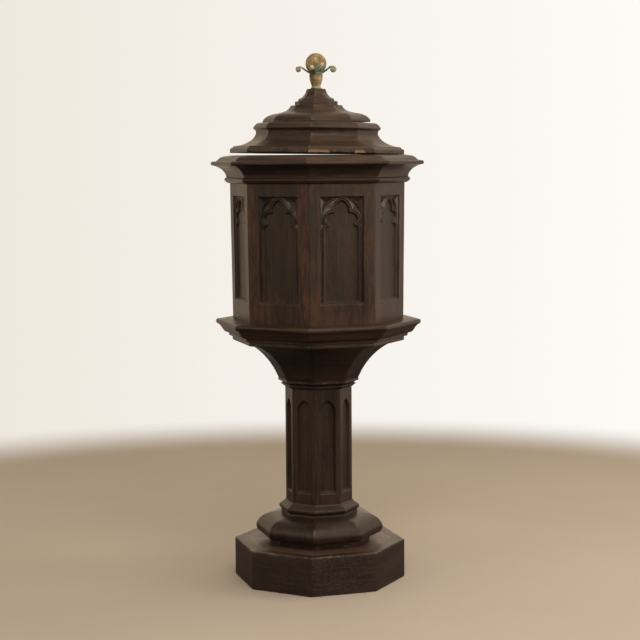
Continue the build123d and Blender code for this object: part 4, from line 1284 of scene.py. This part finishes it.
def floor_material():
    """Pale to the camera, with a darker copy of painted shade for other rays, so that it throws
    less light onto the stand, and fading into the backdrop at its rim.
    """
    graph = Graph(bpy.data.materials.new("floor_pale"))
    place = graph.place()
    big = graph.noise(place, scale=2.2)
    fine = graph.noise(place, scale=260.0, rough=0.6)
    pale = graph.mix(big * 0.6 + fine * 0.4, (0.50, 0.405, 0.305), (0.60, 0.495, 0.385))
    seen = graph.wire("LightPath", None, "Is Camera Ray")
    surface = graph.surface(color=graph.mix(seen, (0.088, 0.069, 0.058), pale), roughness=0.85,
                            bump=fine, strength=0.25, distance=0.001)
    radius = graph.wire("VectorMath", {0: place}, "Value", operation="LENGTH")
    faded = graph.wire("MixShader", {0: radius.ramp(span=(1.55, 2.15)), 1: surface,
                                     2: graph.wire("BsdfTransparent")})
    graph.node("OutputMaterial", {0: faded})
    return graph.owner


def make_floor():
    count = 96
    verts, faces = [(0.0, 0.0, 0.0)], []
    for i, radius in enumerate((0.3, 0.8, 1.4, 2.0, 2.6)):
        outer = 1 + i * count
        inner = outer - count
        for j in range(count):
            angle = 2 * math.pi * j / count
            verts.append((radius * math.cos(angle), radius * math.sin(angle), 0.0))
            after = (j + 1) % count
            if i == 0:
                faces.append((0, outer + j, outer + after))
            else:
                faces.append((inner + j, outer + j, outer + after, inner + after))
    mesh = bpy.data.meshes.new("floor")
    mesh.from_pydata(verts, [], faces)
    floor = bpy.data.objects.new("floor", mesh)
    scene.collection.objects.link(floor)
    mesh.materials.append(floor_material())


# what the wood mirrors: a bright wall behind, dimmer walls at the sides, a dark room in front
# and a plain ceiling
ROOM = [
    (towards(-180), (0.97, 0.80, 0.60)),
    (towards(-90), (0.42, 0.29, 0.18)),
    (towards(135), (0.30, 0.275, 0.25)),
    (towards(-45), (0.13, 0.17, 0.19)),
    (UP, (0.31, 0.30, 0.28)),
]


def make_world():
    """The camera sees a backdrop brightening from left to right; other rays see the room."""
    scene.world = bpy.data.worlds.new("studio")
    graph = Graph(scene.world)
    window = graph.wire("SeparateXYZ", {0: graph.wire("TexCoord", None, "Window")})
    backdrop = graph.mix(window, (0.862, 0.806, 0.737), (0.983, 0.965, 0.923))
    ray = graph.wire("TexCoord", None, "Generated")
    room = None
    for direction, tint in ROOM:
        facing = graph.vector("DOT_PRODUCT", ray, direction, output="Value")
        facing = graph.wire("Math", {0: facing, 1: 0.0}, operation="MAXIMUM")
        lobe = graph.wire("Math", {0: facing, 1: 3.0}, operation="POWER")
        lobe = graph.wire("VectorMath", {0: tint, "Scale": lobe}, operation="SCALE")
        room = graph.vector("ADD", room, lobe) if room else lobe
    mixed = graph.wire("MixShader", {
        0: graph.wire("LightPath", None, "Is Camera Ray"),
        1: graph.wire("Background", {0: room, 1: 1.0}),
        2: graph.wire("Background", {0: backdrop, 1: 1.0})})
    graph.node("OutputWorld", {0: mixed})


def studio_light(name, bearing, height, watts, color, size=1.6, distance=3.0):
    """A soft square panel by its bearing and its height in degrees, aimed at the stand."""
    light = bpy.data.lights.new(name, "AREA")
    light.shape = "RECTANGLE"
    light.size = light.size_y = size
    light.energy = watts
    light.color = color
    obj = bpy.data.objects.new(name, light)
    scene.collection.objects.link(obj)
    rise = math.radians(height)
    where = (towards(bearing) * math.cos(rise) * distance
             + UP * (0.75 + math.sin(rise) * distance))
    obj.location = where
    obj.rotation_mode = "QUATERNION"
    obj.rotation_quaternion = (Vector((0, 0, 0.6)) - where).to_track_quat("-Z", "Y")
    obj.visible_camera = False


# name, bearing, height, watts, colour and, where it differs, size
LIGHTS = [
    ("key_front", 15, 48, 29, (1.0, 0.98, 0.93)),
    ("front_window", -8, 20, 15, (0.92, 0.97, 1.0), 1.0),
    ("front_left", -15, 48, 3.5, (1.0, 0.98, 0.95)),
    ("window_right", 80, 8, 35.5, (1.0, 0.98, 0.94)),
    ("front_right", 45, 8, 12.5, (1.0, 0.86, 0.68)),
    ("back_right", 115, 48, 17, (1.0, 0.82, 0.63)),
    ("left", -60, 20, 6, (1.0, 0.88, 0.70)),
    ("window_left", -115, 8, 4.4, (1.0, 0.92, 0.76)),
    ("overhead", 0, 88, 10, (1.0, 0.80, 0.62)),
]


def make_camera(place, lens, pitch_down, roll):
    data = bpy.data.cameras.new("camera")
    camera = bpy.data.objects.new("camera", data)
    scene.collection.objects.link(camera)
    data.sensor_width = 36.0
    data.lens = lens
    data.clip_start = 0.05
    data.clip_end = 60
    pitch = math.radians(pitch_down)
    forward = AWAY * math.cos(pitch) - UP * math.sin(pitch)
    axes = Matrix((RIGHT, RIGHT.cross(forward), -forward)).transposed()
    turn = axes @ Matrix.Rotation(math.radians(roll), 3, "Z")
    camera.matrix_world = Matrix.Translation(place) @ turn.to_4x4()
    scene.camera = camera


make_floor()
make_world()
for light in LIGHTS:
    studio_light(*light)
make_camera(place=(-1.0151, -3.2586, 0.8965), lens=90.51, pitch_down=5.725, roll=-0.413)
scene.view_settings.view_transform = "Standard"
scene.view_settings.look = "None"
